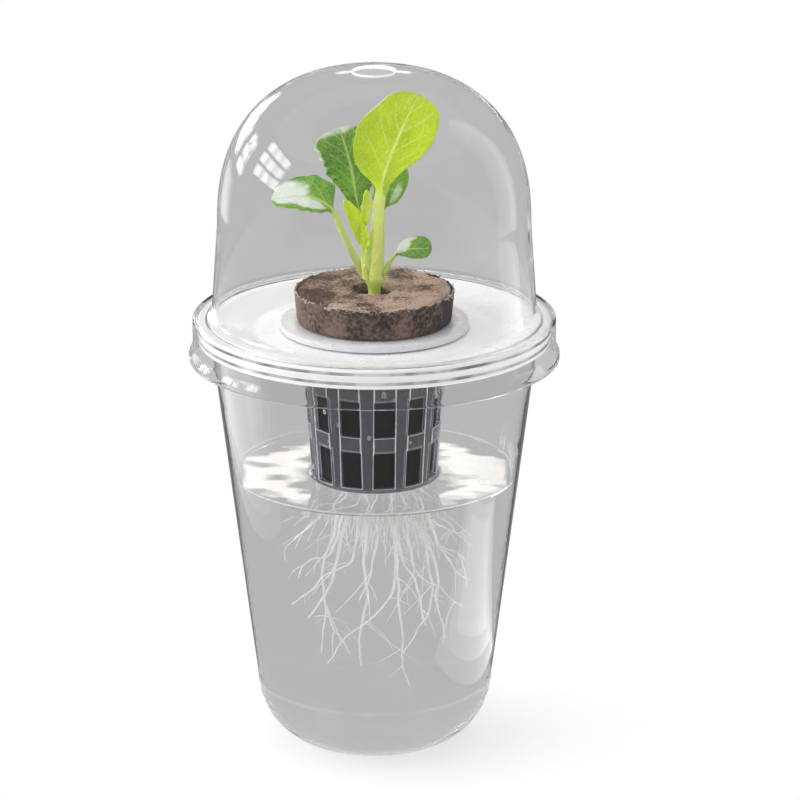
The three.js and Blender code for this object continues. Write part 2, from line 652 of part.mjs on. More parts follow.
const seedling = new THREE.Group();
seedling.position.z = plugTop;
seedling.add(piece("seedling_stem", stemSolid(0), STEM_GREEN));
for (const leaf of LEAVES) seedling.add(piece(leaf.name, leafSolid(leaf), leaf.finish));
basket.add(seedling);

const dome = new THREE.Group();
dome.position.z = domeZ;
dome.add(piece("dome_cover", domeSolid(), CLEAR_PLASTIC));
tray.add(dome);

export default planter;
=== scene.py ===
"""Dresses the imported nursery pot: clear cup with its water, white planting tray, net pot with the wrapped
plug, seedling and roots, and the clear vented dome. Metres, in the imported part's own frame."""

import math
import random

import bmesh
import bpy
from mathutils import Matrix, Vector, noise


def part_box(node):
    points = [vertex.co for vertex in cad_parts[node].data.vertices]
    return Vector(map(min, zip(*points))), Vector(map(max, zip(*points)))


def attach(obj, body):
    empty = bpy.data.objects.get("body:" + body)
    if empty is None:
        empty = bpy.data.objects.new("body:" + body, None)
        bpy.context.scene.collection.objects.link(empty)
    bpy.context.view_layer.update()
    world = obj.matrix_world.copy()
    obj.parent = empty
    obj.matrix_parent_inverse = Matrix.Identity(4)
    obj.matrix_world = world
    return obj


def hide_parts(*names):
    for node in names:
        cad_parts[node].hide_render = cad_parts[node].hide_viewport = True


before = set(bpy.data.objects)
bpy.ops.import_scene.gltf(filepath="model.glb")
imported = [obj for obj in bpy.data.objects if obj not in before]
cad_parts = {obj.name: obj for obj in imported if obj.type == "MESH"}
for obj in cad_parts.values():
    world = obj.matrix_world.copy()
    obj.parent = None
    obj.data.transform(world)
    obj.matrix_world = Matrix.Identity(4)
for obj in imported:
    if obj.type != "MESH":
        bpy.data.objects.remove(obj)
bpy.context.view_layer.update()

bl_info = {
    "name": "Nursery planter pot",
    "version": (1, 0, 0),
    "blender": (4, 5, 0),
    "location": "3D View > Sidebar > Planter",
    "description": "Builds the looks of a clear nursery pot with its seedling, piece by piece",
    "category": "Add Mesh",
}

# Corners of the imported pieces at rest
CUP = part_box("reservoir_cup")[1]
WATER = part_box("nutrient_water")[1]
TRAY_FOOT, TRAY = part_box("planting_tray")
POT_FOOT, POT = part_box("net_pot")
WRAP_FOOT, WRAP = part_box("plug_sleeve")
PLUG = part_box("growing_plug")[1]
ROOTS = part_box("root_cluster")[1]
STEM_FOOT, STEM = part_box("seedling_stem")
DOME_FOOT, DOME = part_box("dome_cover")

MM = 0.001

# Fineness of the meshes: steps round the axis, steps along a curve, and how close points are merged
TURN_STEPS = 128
FIBRE_TURN_STEPS = 168
MAT_TURN_STEPS = 72
STEM_TURN_STEPS = 48
CURVE_STEPS = 16
WELD = 1e-6

# How near a point counts as lying on a surface
NEAR = 0.1 * MM

# Edges that fold by more than this show sharp
CREASE = math.radians(40)


# Sizes and colours that a user would change


def length(name, default, description):
    """A size in metres, shown in the scene's units."""
    return bpy.props.FloatProperty(
        name=name, description=description, default=default, min=0.0, precision=5,
        subtype="DISTANCE", unit="LENGTH")


def colour(name, default, description):
    """A colour in linear light."""
    return bpy.props.FloatVectorProperty(
        name=name, description=description, default=default, min=0.0, max=1.0, size=3, subtype="COLOR")


class PlanterVesselSizes(bpy.types.PropertyGroup):
    """Sizes of the cup, the tray and the dome"""

    cup_wall: length("Cup wall", 1.0 * MM, "Thickness of the cup")
    cup_base: length("Cup base", 30.3 * MM, "Radius where the straight wall would meet the ground")
    cup_heel: length("Heel round", 18.7 * MM, "Round between the foot and the wall")
    cup_overhang: length("Rim overhang", 1.8 * MM, "How far the rolled rim stands out")
    cup_rim: length("Rim height", 3.2 * MM, "Height of the rolled rim")
    punt_radius: length("Push-up radius", 5.0 * MM, "Flat top of the push-up in the foot")
    punt_run: length("Push-up run", 3.0 * MM, "Width of the push-up's slope")
    punt_depth: length("Push-up depth", 1.2 * MM, "Height of the push-up")
    water_gap: length("Water gap", 0.08 * MM, "Between the water and what it touches")
    meniscus: length("Meniscus", 1.1 * MM, "How far the water climbs at its edges")
    tray_wall: length("Tray wall", 1.2 * MM, "Thickness of the tray")
    tray_hole: length("Tray hole", 21.0 * MM, "Radius of the hole for the net pot")
    dish_radius: length("Dish radius", 43.5 * MM, "Top of the dish's slope")
    dish_run: length("Dish run", 10.0 * MM, "Width of the dish's slope")
    dish_depth: length("Dish depth", 2.4 * MM, "From the tray's rim down to its floor")
    lip_wall: length("Lip wall", 0.9 * MM, "Thickness of the lip over the cup's rim")
    band_depth: length("Band depth", 2.5 * MM, "Height of the band round the tray's rim")
    band_step: length("Band step", 0.4 * MM, "How far the band stands out over the lip")
    dome_wall: length("Dome wall", 1.0 * MM, "Thickness of the dome")
    dome_flare: length("Skirt flare", 1.1 * MM, "How far the skirt's foot flares out")
    dome_flare_height: length("Flare height", 3.4 * MM, "Where the skirt's flare starts")
    dome_skirt: length("Skirt depth", 10.8 * MM, "From the inside of the shoulder down to the skirt's foot")
    dome_shoulder: length("Shoulder width", 5.2 * MM, "From the skirt's outside to the wall's outside")
    dome_spring: length("Spring height", 27.0 * MM, "From the shoulder's inside up to where the cap starts")
    dome_draft: length("Dome draft", 1.8 * MM, "How far the straight wall leans in")
    dome_vent: length("Vent radius", 6.0 * MM, "Radius of the vent hole")


class PlanterPlantSizes(bpy.types.PropertyGroup):
    """Sizes of the net pot, the plug and the seedling"""

    pot_top: length("Pot top", 20.6 * MM, "Outside radius under the flange")
    pot_foot: length("Pot foot", 17.4 * MM, "Outside radius at the foot")
    pot_wall: length("Pot wall", 1.2 * MM, "Thickness of the net pot")
    flange_height: length("Flange height", 1.8 * MM, "Thickness of the flange on the tray")
    band_height: length("Band height", 16.3 * MM, "Plain band under the flange")
    window_height: length("Window height", 10.4 * MM, "Height of each window")
    window_width: length("Window width", 6.0 * MM, "Width of each window")
    hoop_height: length("Hoop height", 4.6 * MM, "Between the two rows of windows")
    slot_radius: length("Slot radius", 13.0 * MM, "Outer end of the slots in the pot's floor")
    hub_radius: length("Hub radius", 4.5 * MM, "Plain middle of the pot's floor")
    pot_edge: length("Pot edge", 0.22 * MM, "Bevel along the windows and the flange")
    wrap_wall: length("Wrap wall", 0.6 * MM, "Thickness of the net wrap")
    wrap_crown: length("Wrap crown", 21.2 * MM, "Radius of the wrap just over the flange")
    wrap_mouth: length("Wrap mouth", 19.0 * MM, "Radius of the wrap in the net pot's mouth")
    wrap_foot: length("Wrap foot", 15.8 * MM, "Radius of the wrap on the net pot's floor")
    plug_gap: length("Plug gap", 0.1 * MM, "Between the plug and its wrap")
    plug_round: length("Plug round", 1.3 * MM, "Round along the plug's top edge")
    hole_radius: length("Planting hole", 6.2 * MM, "Radius of the planting hole")
    hole_depth: length("Hole depth", 6.0 * MM, "Depth of the planting hole")
    plug_grain: length("Plug grain", 0.3 * MM, "How rough the plug's top is")
    leaf_thickness: length("Leaf thickness", 0.5 * MM, "Thickness of a leaf's blade")


class PlanterColours(bpy.types.PropertyGroup):
    """Colours of the pieces"""

    clear_wall: colour("Clear wall", (0.875, 0.875, 0.88), "Clear plastic of the cup and the dome")
    clear_pale: colour("Clear pale", (0.98, 0.98, 0.98), "Clear plastic at smudges, mould lines and cuts")
    water: colour("Water", (0.96, 0.975, 0.97), "Water in the cup")
    tray: colour("Tray", (0.95, 0.945, 0.96), "White planting tray")
    # The groove colour is painted shade, a dark grey standing in for the shadow in the tray's grooves
    groove: colour("Tray groove", (0.26, 0.25, 0.27), "Dust in the tray's grooves")
    smoky: colour("Net pot", (0.3, 0.3, 0.35), "See-through net pot in the cup")
    # The net pot's pale colour is painted light: on the flange it stands in for the white tray seen through it,
    # on cut edges for highlights
    pot_painted_pale: colour("Net pot flange", (0.95, 0.955, 0.975), "Net pot where it lies on the tray")
    peat_light: colour("Peat, light", (0.66, 0.47, 0.355), "Dry fibres on the plug")
    peat_dark: colour("Peat, dark", (0.09, 0.052, 0.036), "Moist crumbs between them")
    peat_wet: colour("Peat, wet", (0.035, 0.022, 0.017), "Wet peat in the planting hole")
    wrap_light: colour("Wrap, light", (0.26, 0.175, 0.138), "Dry stretches of the net wrap")
    wrap_dark: colour("Wrap, dark", (0.03, 0.021, 0.019), "Moist stretches of the net wrap")
    wrap_wet: colour("Wrap, wet", (0.006, 0.0055, 0.005), "Net wrap inside the net pot")
    fray: colour("Fray", (0.72, 0.62, 0.53), "Torn bits along the wrap's hem")
    root: colour("Roots", (0.78, 0.79, 0.785), "Roots in the water")
    stem_low: colour("Stem, low", (0.62, 0.82, 0.11), "Stem in the plug")
    stem_high: colour("Stem, high", (0.77, 0.9, 0.22), "Stem where the leaves part")
    bright_leaf: colour("Bright leaf", (0.52, 0.68, 0.004), "Young bright leaves")
    bright_shade: colour("Bright leaf, shaded", (0.39, 0.57, 0.004), "Deeper patches on them")
    bright_vein: colour("Bright vein", (0.82, 0.92, 0.26), "Their stalks and veins")
    # The youngest leaf's colours are partly its own paler yellow-green and partly painted light, made brighter
    # to lift it out of the shade it stands in
    young_leaf: colour("Young leaf", (0.77, 0.93, 0.016), "The youngest leaf")
    young_shade: colour("Young leaf, shaded", (0.53, 0.78, 0.009), "Deeper patches on it")
    dark_leaf: colour("Dark leaf", (0.15, 0.36, 0.026), "Older leaves")
    dark_shade: colour("Dark leaf, shaded", (0.086, 0.23, 0.026), "Deeper patches on them")
    dark_vein: colour("Dark vein", (0.69, 0.82, 0.26), "Their stalks and veins")
    # The leaves' pale colour is painted sheen, standing in for the light they reflect
    painted_sheen: colour("Leaf bloom", (0.77, 0.83, 0.75), "Pale bloom on the older leaves")


# Shaping


def rounded(corners, closed=False):
    """Points (radius, height) of an outline whose corners (radius, height, round) become arcs."""
    points = []
    for index, (radius, height, *bend) in enumerate(corners):
        here = Vector((radius, height))
        if not bend:
            points.append(here)
            continue
        before = (Vector(corners[index - 1][:2]) - here).normalized()
        after = (Vector(corners[(index + 1) % len(corners)][:2]) - here).normalized()
        half = before.angle(after) / 2
        centre = here + (before + after).normalized() * bend[0] / math.sin(half)
        start = here + before * bend[0] / math.tan(half) - centre
        end = here + after * bend[0] / math.tan(half) - centre
        turn = math.pi - 2 * half
        steps = 4 + round(bend[0] / MM)
        for step in range(steps + 1):
            share = step / steps
            arm = start * math.sin((1 - share) * turn) + end * math.sin(share * turn)
            points.append(centre + arm / math.sin(turn))
    if closed:
        points.append(points[0])
    return points


def divided(points, longest):
    """The same outline with points added so that no stretch is longer than this."""
    fine = [points[0]]
    for start, end in zip(points, points[1:]):
        count = max(1, math.ceil((end - start).length / longest))
        fine += [start.lerp(end, step / count) for step in range(1, count + 1)]
    return fine


def turned(points, steps=TURN_STEPS):
    """A mesh made by spinning an outline once round the pot's axis."""
    shape = bmesh.new()
    spots = [shape.verts.new((point.x, 0.0, point.y)) for point in points]
    line = [shape.edges.new(pair) for pair in zip(spots, spots[1:])]
    bmesh.ops.spin(
        shape, geom=spots + line, cent=(0, 0, 0), axis=(0, 0, 1), angle=math.tau, steps=steps, use_merge=True)
    bmesh.ops.remove_doubles(shape, verts=shape.verts, dist=WELD)
    bmesh.ops.recalc_face_normals(shape, faces=shape.faces)
    return shape


def roughened(shape, depth, grain, above=0.0):
    """Moves points above a height along their normals, by a fractal noise of this depth and grain."""
    shape.normal_update()
    spots = [spot for spot in shape.verts if spot.co.z > above]
    moves = [spot.normal * depth * noise.fractal(spot.co / grain, 1.0, 2.0, 4) for spot in spots]
    for spot, move in zip(spots, moves):
        spot.co += move


def join(shape, other):
    """Adds another mesh to a mesh and frees it."""
    carrier = bpy.data.meshes.new("carrier")
    other.to_mesh(carrier)
    other.free()
    shape.from_mesh(carrier)
    bpy.data.meshes.remove(carrier)


def eased(a, b, c, d, t):
    """What lies a share t of the way from b to c, on a smooth curve through all four."""
    return 0.5 * (2 * b + t * (c - a) + t * t * (2 * a - 5 * b + 4 * c - d)
                  + t ** 3 * (3 * b - a - 3 * c + d))


def smooth_line(points, count):
    """Evenly spaced points on a smooth curve through the given ones."""
    ends = [2 * points[0] - points[1], *points, 2 * points[-1] - points[-2]]
    fine = []
    for stretch in zip(ends, ends[1:], ends[2:], ends[3:]):
        fine += [eased(*stretch, step / CURVE_STEPS) for step in range(CURVE_STEPS)]
    fine.append(points[-1])
    runs = [0.0]
    for start, end in zip(fine, fine[1:]):
        runs.append(runs[-1] + (end - start).length)
    spaced = []
    index = 0
    for step in range(count):
        target = runs[-1] * step / (count - 1)
        while index < len(fine) - 2 and runs[index + 1] < target:
            index += 1
        share = (target - runs[index]) / max(runs[index + 1] - runs[index], WELD)
        spaced.append(fine[index].lerp(fine[index + 1], share))
    return spaced


def paint(shape, number, chosen):
    """Gives one of the piece's finishes, by its number, to the faces whose middle is chosen."""
    for face in shape.faces:
        if chosen(face.calc_center_median()):
            face.material_index = number


def new_piece(name, shape, node, body, slot, *finishes, crease=CREASE):
    """Makes an object of a mesh, smooth but for its creases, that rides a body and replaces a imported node."""
    for edge in shape.edges:
        edge.smooth = edge.calc_face_angle(0.0) < crease
    for face in shape.faces:
        face.smooth = True
    mesh = bpy.data.meshes.new(name)
    shape.to_mesh(mesh)
    shape.free()
    for finish in finishes:
        mesh.materials.append(finish)
    piece = bpy.data.objects.new(name, mesh)
    bpy.context.scene.collection.objects.link(piece)
    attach(piece, body)
    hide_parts(node)


# Material helpers

WHITE = (1.0, 1.0, 1.0, 1.0)

# The range in which most of a cloudy pattern lies
MIDDLING = (0.3, 0.7)


def solid(shade):
    """A colour with full alpha."""
    return (*shade, 1.0)


def dimmed(shade, share):
    """A colour at this share of its brightness, with full alpha."""
    return solid(share * part for part in shade)


def put(tree, kind, inputs=None, **settings):
    """Adds a node, sets its properties, and fills its inputs with values or with links from sockets."""
    made = tree.nodes.new(kind)
    for key, value in settings.items():
        setattr(made, key, value)
    for key, value in (inputs or {}).items():
        if isinstance(value, bpy.types.NodeSocket):
            tree.links.new(value, made.inputs[key])
        else:
            made.inputs[key].default_value = value
    return made


def feed(tree, shader, patterns):
    """Links patterns to a shader's sockets, by the sockets' names."""
    for label, pattern in patterns.items():
        tree.links.new(pattern, shader.inputs[label])


def sums(tree, operation, first, second=0.0, third=0.0):
    """One step of arithmetic between sockets or values."""
    return put(tree, "ShaderNodeMath", {0: first, 1: second, 2: third}, operation=operation).outputs[0]


def mixed(tree, share, first, second):
    """A colour between two, by a share from 0 to 1."""
    return put(tree, "ShaderNodeMix", {0: share, 6: first, 7: second}, data_type="RGBA").outputs[2]


def ranged(tree, value, low, high, to_low=0.0, to_high=1.0):
    """A value eased from one range into another, and held at its ends."""
    inputs = {"Value": value, "From Min": low, "From Max": high, "To Min": to_low, "To Max": to_high}
    return put(tree, "ShaderNodeMapRange", inputs, interpolation_type="SMOOTHSTEP").outputs[0]


def in_place(tree):
    """The Object coordinates of the surface."""
    return put(tree, "ShaderNodeTexCoord").outputs["Object"]


def place_parts(tree):
    """X, Y and Z of the Object coordinates, each for itself."""
    return put(tree, "ShaderNodeSeparateXYZ", {0: in_place(tree)}).outputs


def noised(tree, where, scale, detail=3.0, roughness=0.55):
    """A cloudy pattern from 0 to 1."""
    inputs = {"Vector": where, "Scale": scale, "Detail": detail, "Roughness": roughness}
    return put(tree, "ShaderNodeTexNoise", inputs).outputs[0]


def centred(tree, pattern, reach):
    """A pattern that went from 0 to 1, spread over this reach with 0 in its middle."""
    return sums(tree, "MULTIPLY_ADD", pattern, reach, -reach / 2)


def bumped(tree, height, depth, strength=1.0):
    """A normal from a height pattern, this deep in metres."""
    return put(tree, "ShaderNodeBump", {"Height": height, "Distance": depth, "Strength": strength}).outputs[0]


def new_group(name, inputs, outputs):
    """An empty shader node group with these value sockets, its inputs and its output node."""
    group = bpy.data.node_groups.new(name, "ShaderNodeTree")
    for label, default in inputs.items():
        socket = group.interface.new_socket(label, in_out="INPUT", socket_type="NodeSocketFloat")
        socket.default_value = default
    for label in outputs:
        group.interface.new_socket(label, in_out="OUTPUT", socket_type="NodeSocketFloat")
    return group, group.nodes.new("NodeGroupInput").outputs, group.nodes.new("NodeGroupOutput").inputs


def use_group(tree, group, inputs):
    """Places a node group in a material and returns its outputs."""
    return put(tree, "ShaderNodeGroup", inputs, node_tree=group).outputs


def mould_marks():
    """Faint ripples and smudges of a moulded plastic wall."""
    if "mould_marks" in bpy.data.node_groups:
        return bpy.data.node_groups["mould_marks"]
    group, given, results = new_group(
        "mould_marks", {"Smudge Scale": 60.0, "Ripple Scale": 45.0}, ("Smudge", "Ripple"))
    where = in_place(group)
    smudge = noised(group, where, given["Smudge Scale"], detail=4.0, roughness=0.6)
    ripple = noised(group, where, given["Ripple Scale"], detail=1.0, roughness=0.4)
    group.links.new(smudge, results["Smudge"])
    group.links.new(ripple, results["Ripple"])
    return group


def fibre_mat():
    """Matted fibres and crumbs, as in peat and in the net wrap round it."""
    if "fibre_mat" in bpy.data.node_groups:
        return bpy.data.node_groups["fibre_mat"]
    group, given, results = new_group(
        "fibre_mat", {"Patch Scale": 90.0, "Fibre Scale": 700.0, "Flatten": 3.0}, ("Patch", "Fibre"))
    where = in_place(group)
    flat = put(group, "ShaderNodeCombineXYZ", {0: 1.0, 1: 1.0, 2: given["Flatten"]}).outputs[0]
    drawn = put(group, "ShaderNodeVectorMath", {0: where, 1: flat}, operation="MULTIPLY").outputs[0]
    patch = noised(group, drawn, given["Patch Scale"], detail=5.0, roughness=0.65)
    crumbs = noised(group, where, given["Fibre Scale"], detail=6.0, roughness=0.7)
    strands = put(group, "ShaderNodeTexVoronoi", {"Vector": drawn, "Scale": given["Fibre Scale"]}).outputs[0]
    fibre = sums(group, "MULTIPLY_ADD", strands, 0.4, crumbs)
    group.links.new(patch, results["Patch"])
    group.links.new(fibre, results["Fibre"])
    return group


def leaf_veins():
    """Stalk, midrib, side veins and fine net of a leaf, read from its own map of length and width."""
    if "leaf_veins" in bpy.data.node_groups:
        return bpy.data.node_groups["leaf_veins"]
    group, given, results = new_group(
        "leaf_veins", {"Pairs": 6.0, "Slant": 0.35, "Rib": 0.1}, ("Vein", "Net"))
    spot = put(group, "ShaderNodeUVMap", uv_map="leaf").outputs[0]
    parts = put(group, "ShaderNodeSeparateXYZ", {0: spot}).outputs
    along = parts["X"]
    out = sums(group, "ABSOLUTE", sums(group, "MULTIPLY_ADD", parts["Y"], 2.0, -1.0))
    tapered = sums(group, "MULTIPLY", along, sums(group, "MULTIPLY_ADD", out, 4.0, 1.0))
    stalk = ranged(group, tapered, 0.0, 0.28, 1.0, 0.0)
    narrow = sums(group, "MULTIPLY", given["Rib"], ranged(group, along, 0.0, 1.0, 1.0, 0.25))
    off_rib = sums(group, "SMOOTH_MIN", sums(group, "DIVIDE", out, narrow), 1.0, 0.2)
    rib = sums(group, "SUBTRACT", 1.0, off_rib)
    slanted = sums(group, "SUBTRACT", along, sums(group, "MULTIPLY", out, given["Slant"]))
    bent = sums(group, "ADD", slanted, centred(group, noised(group, in_place(group), 160.0), 0.08))
    wave = sums(group, "PINGPONG", sums(group, "MULTIPLY", bent, given["Pairs"]), 0.5)
    fading = ranged(group, out, 0.35, 0.95, 0.5, 0.0)
    side = sums(group, "MULTIPLY", ranged(group, wave, 0.0, 0.09, 1.0, 0.0), fading)
    vein = sums(group, "MAXIMUM", sums(group, "MAXIMUM", rib, side), stalk)
    cells = put(group, "ShaderNodeTexVoronoi", {"Vector": in_place(group), "Scale": 900.0},
                feature="DISTANCE_TO_EDGE").outputs["Distance"]
    group.links.new(vein, results["Vein"])
    group.links.new(ranged(group, cells, 0.0, 0.18, 1.0, 0.0), results["Net"])
    return group


def new_finish(name, values):
    """A material with plain values on its shader; returns the material, its node tree and the shader."""
    finish = bpy.data.materials.new(name)
    finish.use_nodes = True
    shader = finish.node_tree.nodes["Principled BSDF"]
    for key, value in values.items():
        shader.inputs[key].default_value = value
    return finish, finish.node_tree, shader


def let_lamps_through(tree, shader, light_share, left_straight=False):
    """Lets lamp light and bounced light pass a clear wall straight, so that what is behind it stays lit;
    sight may leave the piece straight too, so that its far side stays clear."""
    path = put(tree, "ShaderNodeLightPath").outputs
    straight = sums(tree, "MAXIMUM", path["Is Shadow Ray"], path["Is Diffuse Ray"])
    if left_straight:
        straight = sums(tree, "MAXIMUM", straight, put(tree, "ShaderNodeNewGeometry").outputs["Backfacing"])
    open_side = put(tree, "ShaderNodeBsdfTransparent", {"Color": solid(light_share)}).outputs[0]
    both = put(tree, "ShaderNodeMixShader", {0: straight, 1: shader.outputs[0], 2: open_side}).outputs[0]
    tree.links.new(both, tree.nodes["Material Output"].inputs["Surface"])


# Finishes

# What is left of lamp light that passes a clear wall, and a smoky one
CLEAR_FILM = (0.97, 0.97, 0.97)
SMOKY_FILM = (0.92, 0.92, 0.94)

# How much light bends in the cup, the dome, the tray and the water
CUP_BEND = 1.09
DOME_BEND = 1.08
TRAY_BEND = 1.47
WATER_BEND = 1.333

# Faint rings that the mould left on the cup's heel: where they start and end, and half their distance
RINGS_START = (3.0 * MM, 8.0 * MM)
RINGS_END = (16.0 * MM, 18.0 * MM)
RING_HALF = 1.3 * MM

# Cut plastic where it is least frosted
FROST = (0.88, 0.88, 0.89, 1.0)


def new_moulded(name, values, scales, first, second, rough):
    """A plastic that goes from one colour to another by its smudges, and gets rougher with them; returns the
    material, its node tree, the shader and the marks."""
    finish, tree, shader = new_finish(name, values)
    marks = use_group(tree, mould_marks(), scales)
    feed(tree, shader, {
        "Base Color": mixed(tree, marks["Smudge"], first, second),
        "Roughness": ranged(tree, marks["Smudge"], *MIDDLING, *rough),
    })
    return finish, tree, shader, marks


def clear_plastic(name, colours, bend):
    """Clear glossy plastic that bends light this much, faintly grey, and paler where it is smudged."""
    finish, tree, shader = new_finish(name, {
        "IOR": bend, "Transmission Weight": 1.0, "Coat Weight": 0.4, "Coat IOR": 1.5, "Coat Roughness": 0.01})
    marks = use_group(tree, mould_marks(), {"Smudge Scale": 55.0, "Ripple Scale": 38.0})
    smudged = ranged(tree, marks["Smudge"], 0.35, 0.75, 0.0, 0.15)
    height = place_parts(tree)["Z"]
    heel = sums(tree, "MULTIPLY", ranged(tree, height, *RINGS_START),
                ranged(tree, height, *RINGS_END, 1.0, 0.0))
    rings = ranged(tree, sums(tree, "PINGPONG", height, RING_HALF), 0.0, RING_HALF)
    relief = sums(tree, "MULTIPLY_ADD", sums(tree, "MULTIPLY", heel, rings), 1.5, marks["Ripple"])
    feed(tree, shader, {
        "Base Color": mixed(tree, smudged, solid(colours.clear_wall), solid(colours.clear_pale)),
        "Roughness": ranged(tree, marks["Smudge"], 0.35, 0.75, 0.0, 0.03),
        "Normal": bumped(tree, relief, 0.6 * MM, 0.1),
    })
    let_lamps_through(tree, shader, CLEAR_FILM)
    return finish


def mould_line(colours):
    """Clear plastic along the faint line where two halves of a mould met."""
    finish, tree, shader = new_finish(
        "mould_line", {"IOR": 1.1, "Transmission Weight": 0.94, "Coat Weight": 0.5})
    marks = use_group(tree, mould_marks(), {"Smudge Scale": 120.0})
    smudged = ranged(tree, marks["Smudge"], 0.35, 0.65)
    feed(tree, shader, {
        "Base Color": mixed(tree, smudged, solid(colours.clear_wall), solid(colours.clear_pale)),
        "Roughness": ranged(tree, marks["Smudge"], *MIDDLING, 0.05, 0.2),
    })
    let_lamps_through(tree, shader, CLEAR_FILM)
    return finish


def cut_edge_glow(colours):
    """Clear plastic where it was punched, frosted white, with a faint painted glow."""
    finish, tree, shader = new_finish("cut_edge_glow", {"IOR": 1.3, "Emission Strength": 0.15})
    marks = use_group(tree, mould_marks(), {"Smudge Scale": 500.0})
    frost = mixed(tree, marks["Smudge"], FROST, solid(colours.clear_pale))
    rough = ranged(tree, marks["Smudge"], *MIDDLING, 0.3, 0.5)
    # Painted glow: the frost colour also goes out as light
    feed(tree, shader, {"Base Color": frost, "Emission Color": frost, "Roughness": rough})
    return finish


def still_water(colours):
    """Clear water with the faintest swell, most of it at the surface."""
    finish, tree, shader = new_finish(
        "still_water", {"IOR": WATER_BEND, "Transmission Weight": 1.0, "Roughness": 0.0})
    marks = use_group(tree, mould_marks(), {"Smudge Scale": 25.0, "Ripple Scale": 95.0})
    near_top = ranged(tree, place_parts(tree)["Z"], WATER.z - 2 * MM, WATER.z - 1 * MM, 0.2, 1.0)
    swell = sums(tree, "MULTIPLY", marks["Ripple"], near_top)
    feed(tree, shader, {
        "Base Color": mixed(tree, marks["Smudge"], solid(colours.water), WHITE),
        "Normal": bumped(tree, swell, 0.5 * MM, 0.4),
    })
    let_lamps_through(tree, shader, CLEAR_FILM, left_straight=True)
    return finish


def water_edge_highlight(colours):
    """A painted highlight: the bright line where the water climbs the cup, whiter and less clear than the
    water.
    """
    finish, tree, shader = new_finish(
        "water_edge_highlight", {"IOR": WATER_BEND, "Transmission Weight": 0.7, "Roughness": 0.2})
    marks = use_group(tree, mould_marks(), {"Smudge Scale": 90.0})
    feed(tree, shader, {"Base Color": mixed(tree, marks["Smudge"], solid(colours.water), WHITE)})
    let_lamps_through(tree, shader, CLEAR_FILM)
    return finish


def droplet(colours):
    """A drop of water that gathers light."""
    finish, tree, shader = new_finish("droplet", {
        "IOR": WATER_BEND, "Transmission Weight": 0.85, "Coat Weight": 1.0, "Coat IOR": 1.8})
    marks = use_group(tree, mould_marks(), {"Smudge Scale": 400.0, "Ripple Scale": 300.0})
    feed(tree, shader, {
        "Base Color": mixed(tree, marks["Smudge"], solid(colours.water), WHITE),
        "Roughness": ranged(tree, marks["Ripple"], *MIDDLING, 0.0, 0.06),
    })
    return finish


def white_plastic(colours):
    """Smooth white moulded plastic with faint handling marks."""
    finish, tree, shader, marks = new_moulded(
        "white_plastic", {"IOR": TRAY_BEND}, {"Smudge Scale": 45.0, "Ripple Scale": 60.0},
        solid(colours.tray), dimmed(colours.tray, 0.94), (0.2, 0.34))
    feed(tree, shader, {"Normal": bumped(tree, marks["Ripple"], 0.4 * MM, 0.05)})
    return finish


def painted_shade_groove(colours):
    """White plastic in the tray's grooves, darkened with painted shade."""
    finish, tree, shader = new_finish("painted_shade_groove", {"IOR": TRAY_BEND})
    marks = use_group(tree, mould_marks(), {"Smudge Scale": 70.0})
    # Painted shade: the grooves go dark grey, a little lighter where the smudge pattern is high
    unshaded_share = ranged(tree, marks["Smudge"], 0.4, 0.65, 0.0, 0.7)
    feed(tree, shader, {
        "Base Color": mixed(tree, unshaded_share, solid(colours.groove), solid(colours.tray)),
        "Roughness": ranged(tree, marks["Smudge"], *MIDDLING, 0.4, 0.6),
    })
    return finish


def smoky_plastic(colours):
    """See-through plastic with a slight haze, which looks dark over the moist plug."""
    finish, tree, shader, marks = new_moulded(
        "smoky_plastic", {"IOR": 1.12, "Transmission Weight": 0.86, "Coat Weight": 1.0, "Coat IOR": 1.5},
        {"Smudge Scale": 130.0, "Ripple Scale": 110.0},
        solid(colours.smoky), dimmed(colours.smoky, 0.8), (0.06, 0.2))
    feed(tree, shader, {"Normal": bumped(tree, marks["Ripple"], 0.4 * MM, 0.3)})
    let_lamps_through(tree, shader, SMOKY_FILM)
    return finish


def smoky_edge_highlight(colours):
    """The net pot's plastic along its cut edges, painted pale as a highlight where they would catch light."""
    return new_moulded(
        "smoky_edge_highlight", {"IOR": 1.5, "Transmission Weight": 0.3}, {"Smudge Scale": 260.0},
        dimmed(colours.pot_painted_pale, 0.5), solid(colours.pot_painted_pale), (0.1, 0.3))[0]


def painted_pale_flange(colours):
    """The net pot's plastic in its flange, painted nearly white, standing in for the white tray's light seen
    through it.
    """
    finish, tree, shader, marks = new_moulded(
        "painted_pale_flange", {"IOR": 1.4, "Transmission Weight": 0.2},
        {"Smudge Scale": 130.0, "Ripple Scale": 110.0},
        solid(colours.pot_painted_pale), dimmed(colours.pot_painted_pale, 0.97), (0.18, 0.32))
    feed(tree, shader, {"Normal": bumped(tree, marks["Ripple"], 0.4 * MM, 0.1)})
    return finish


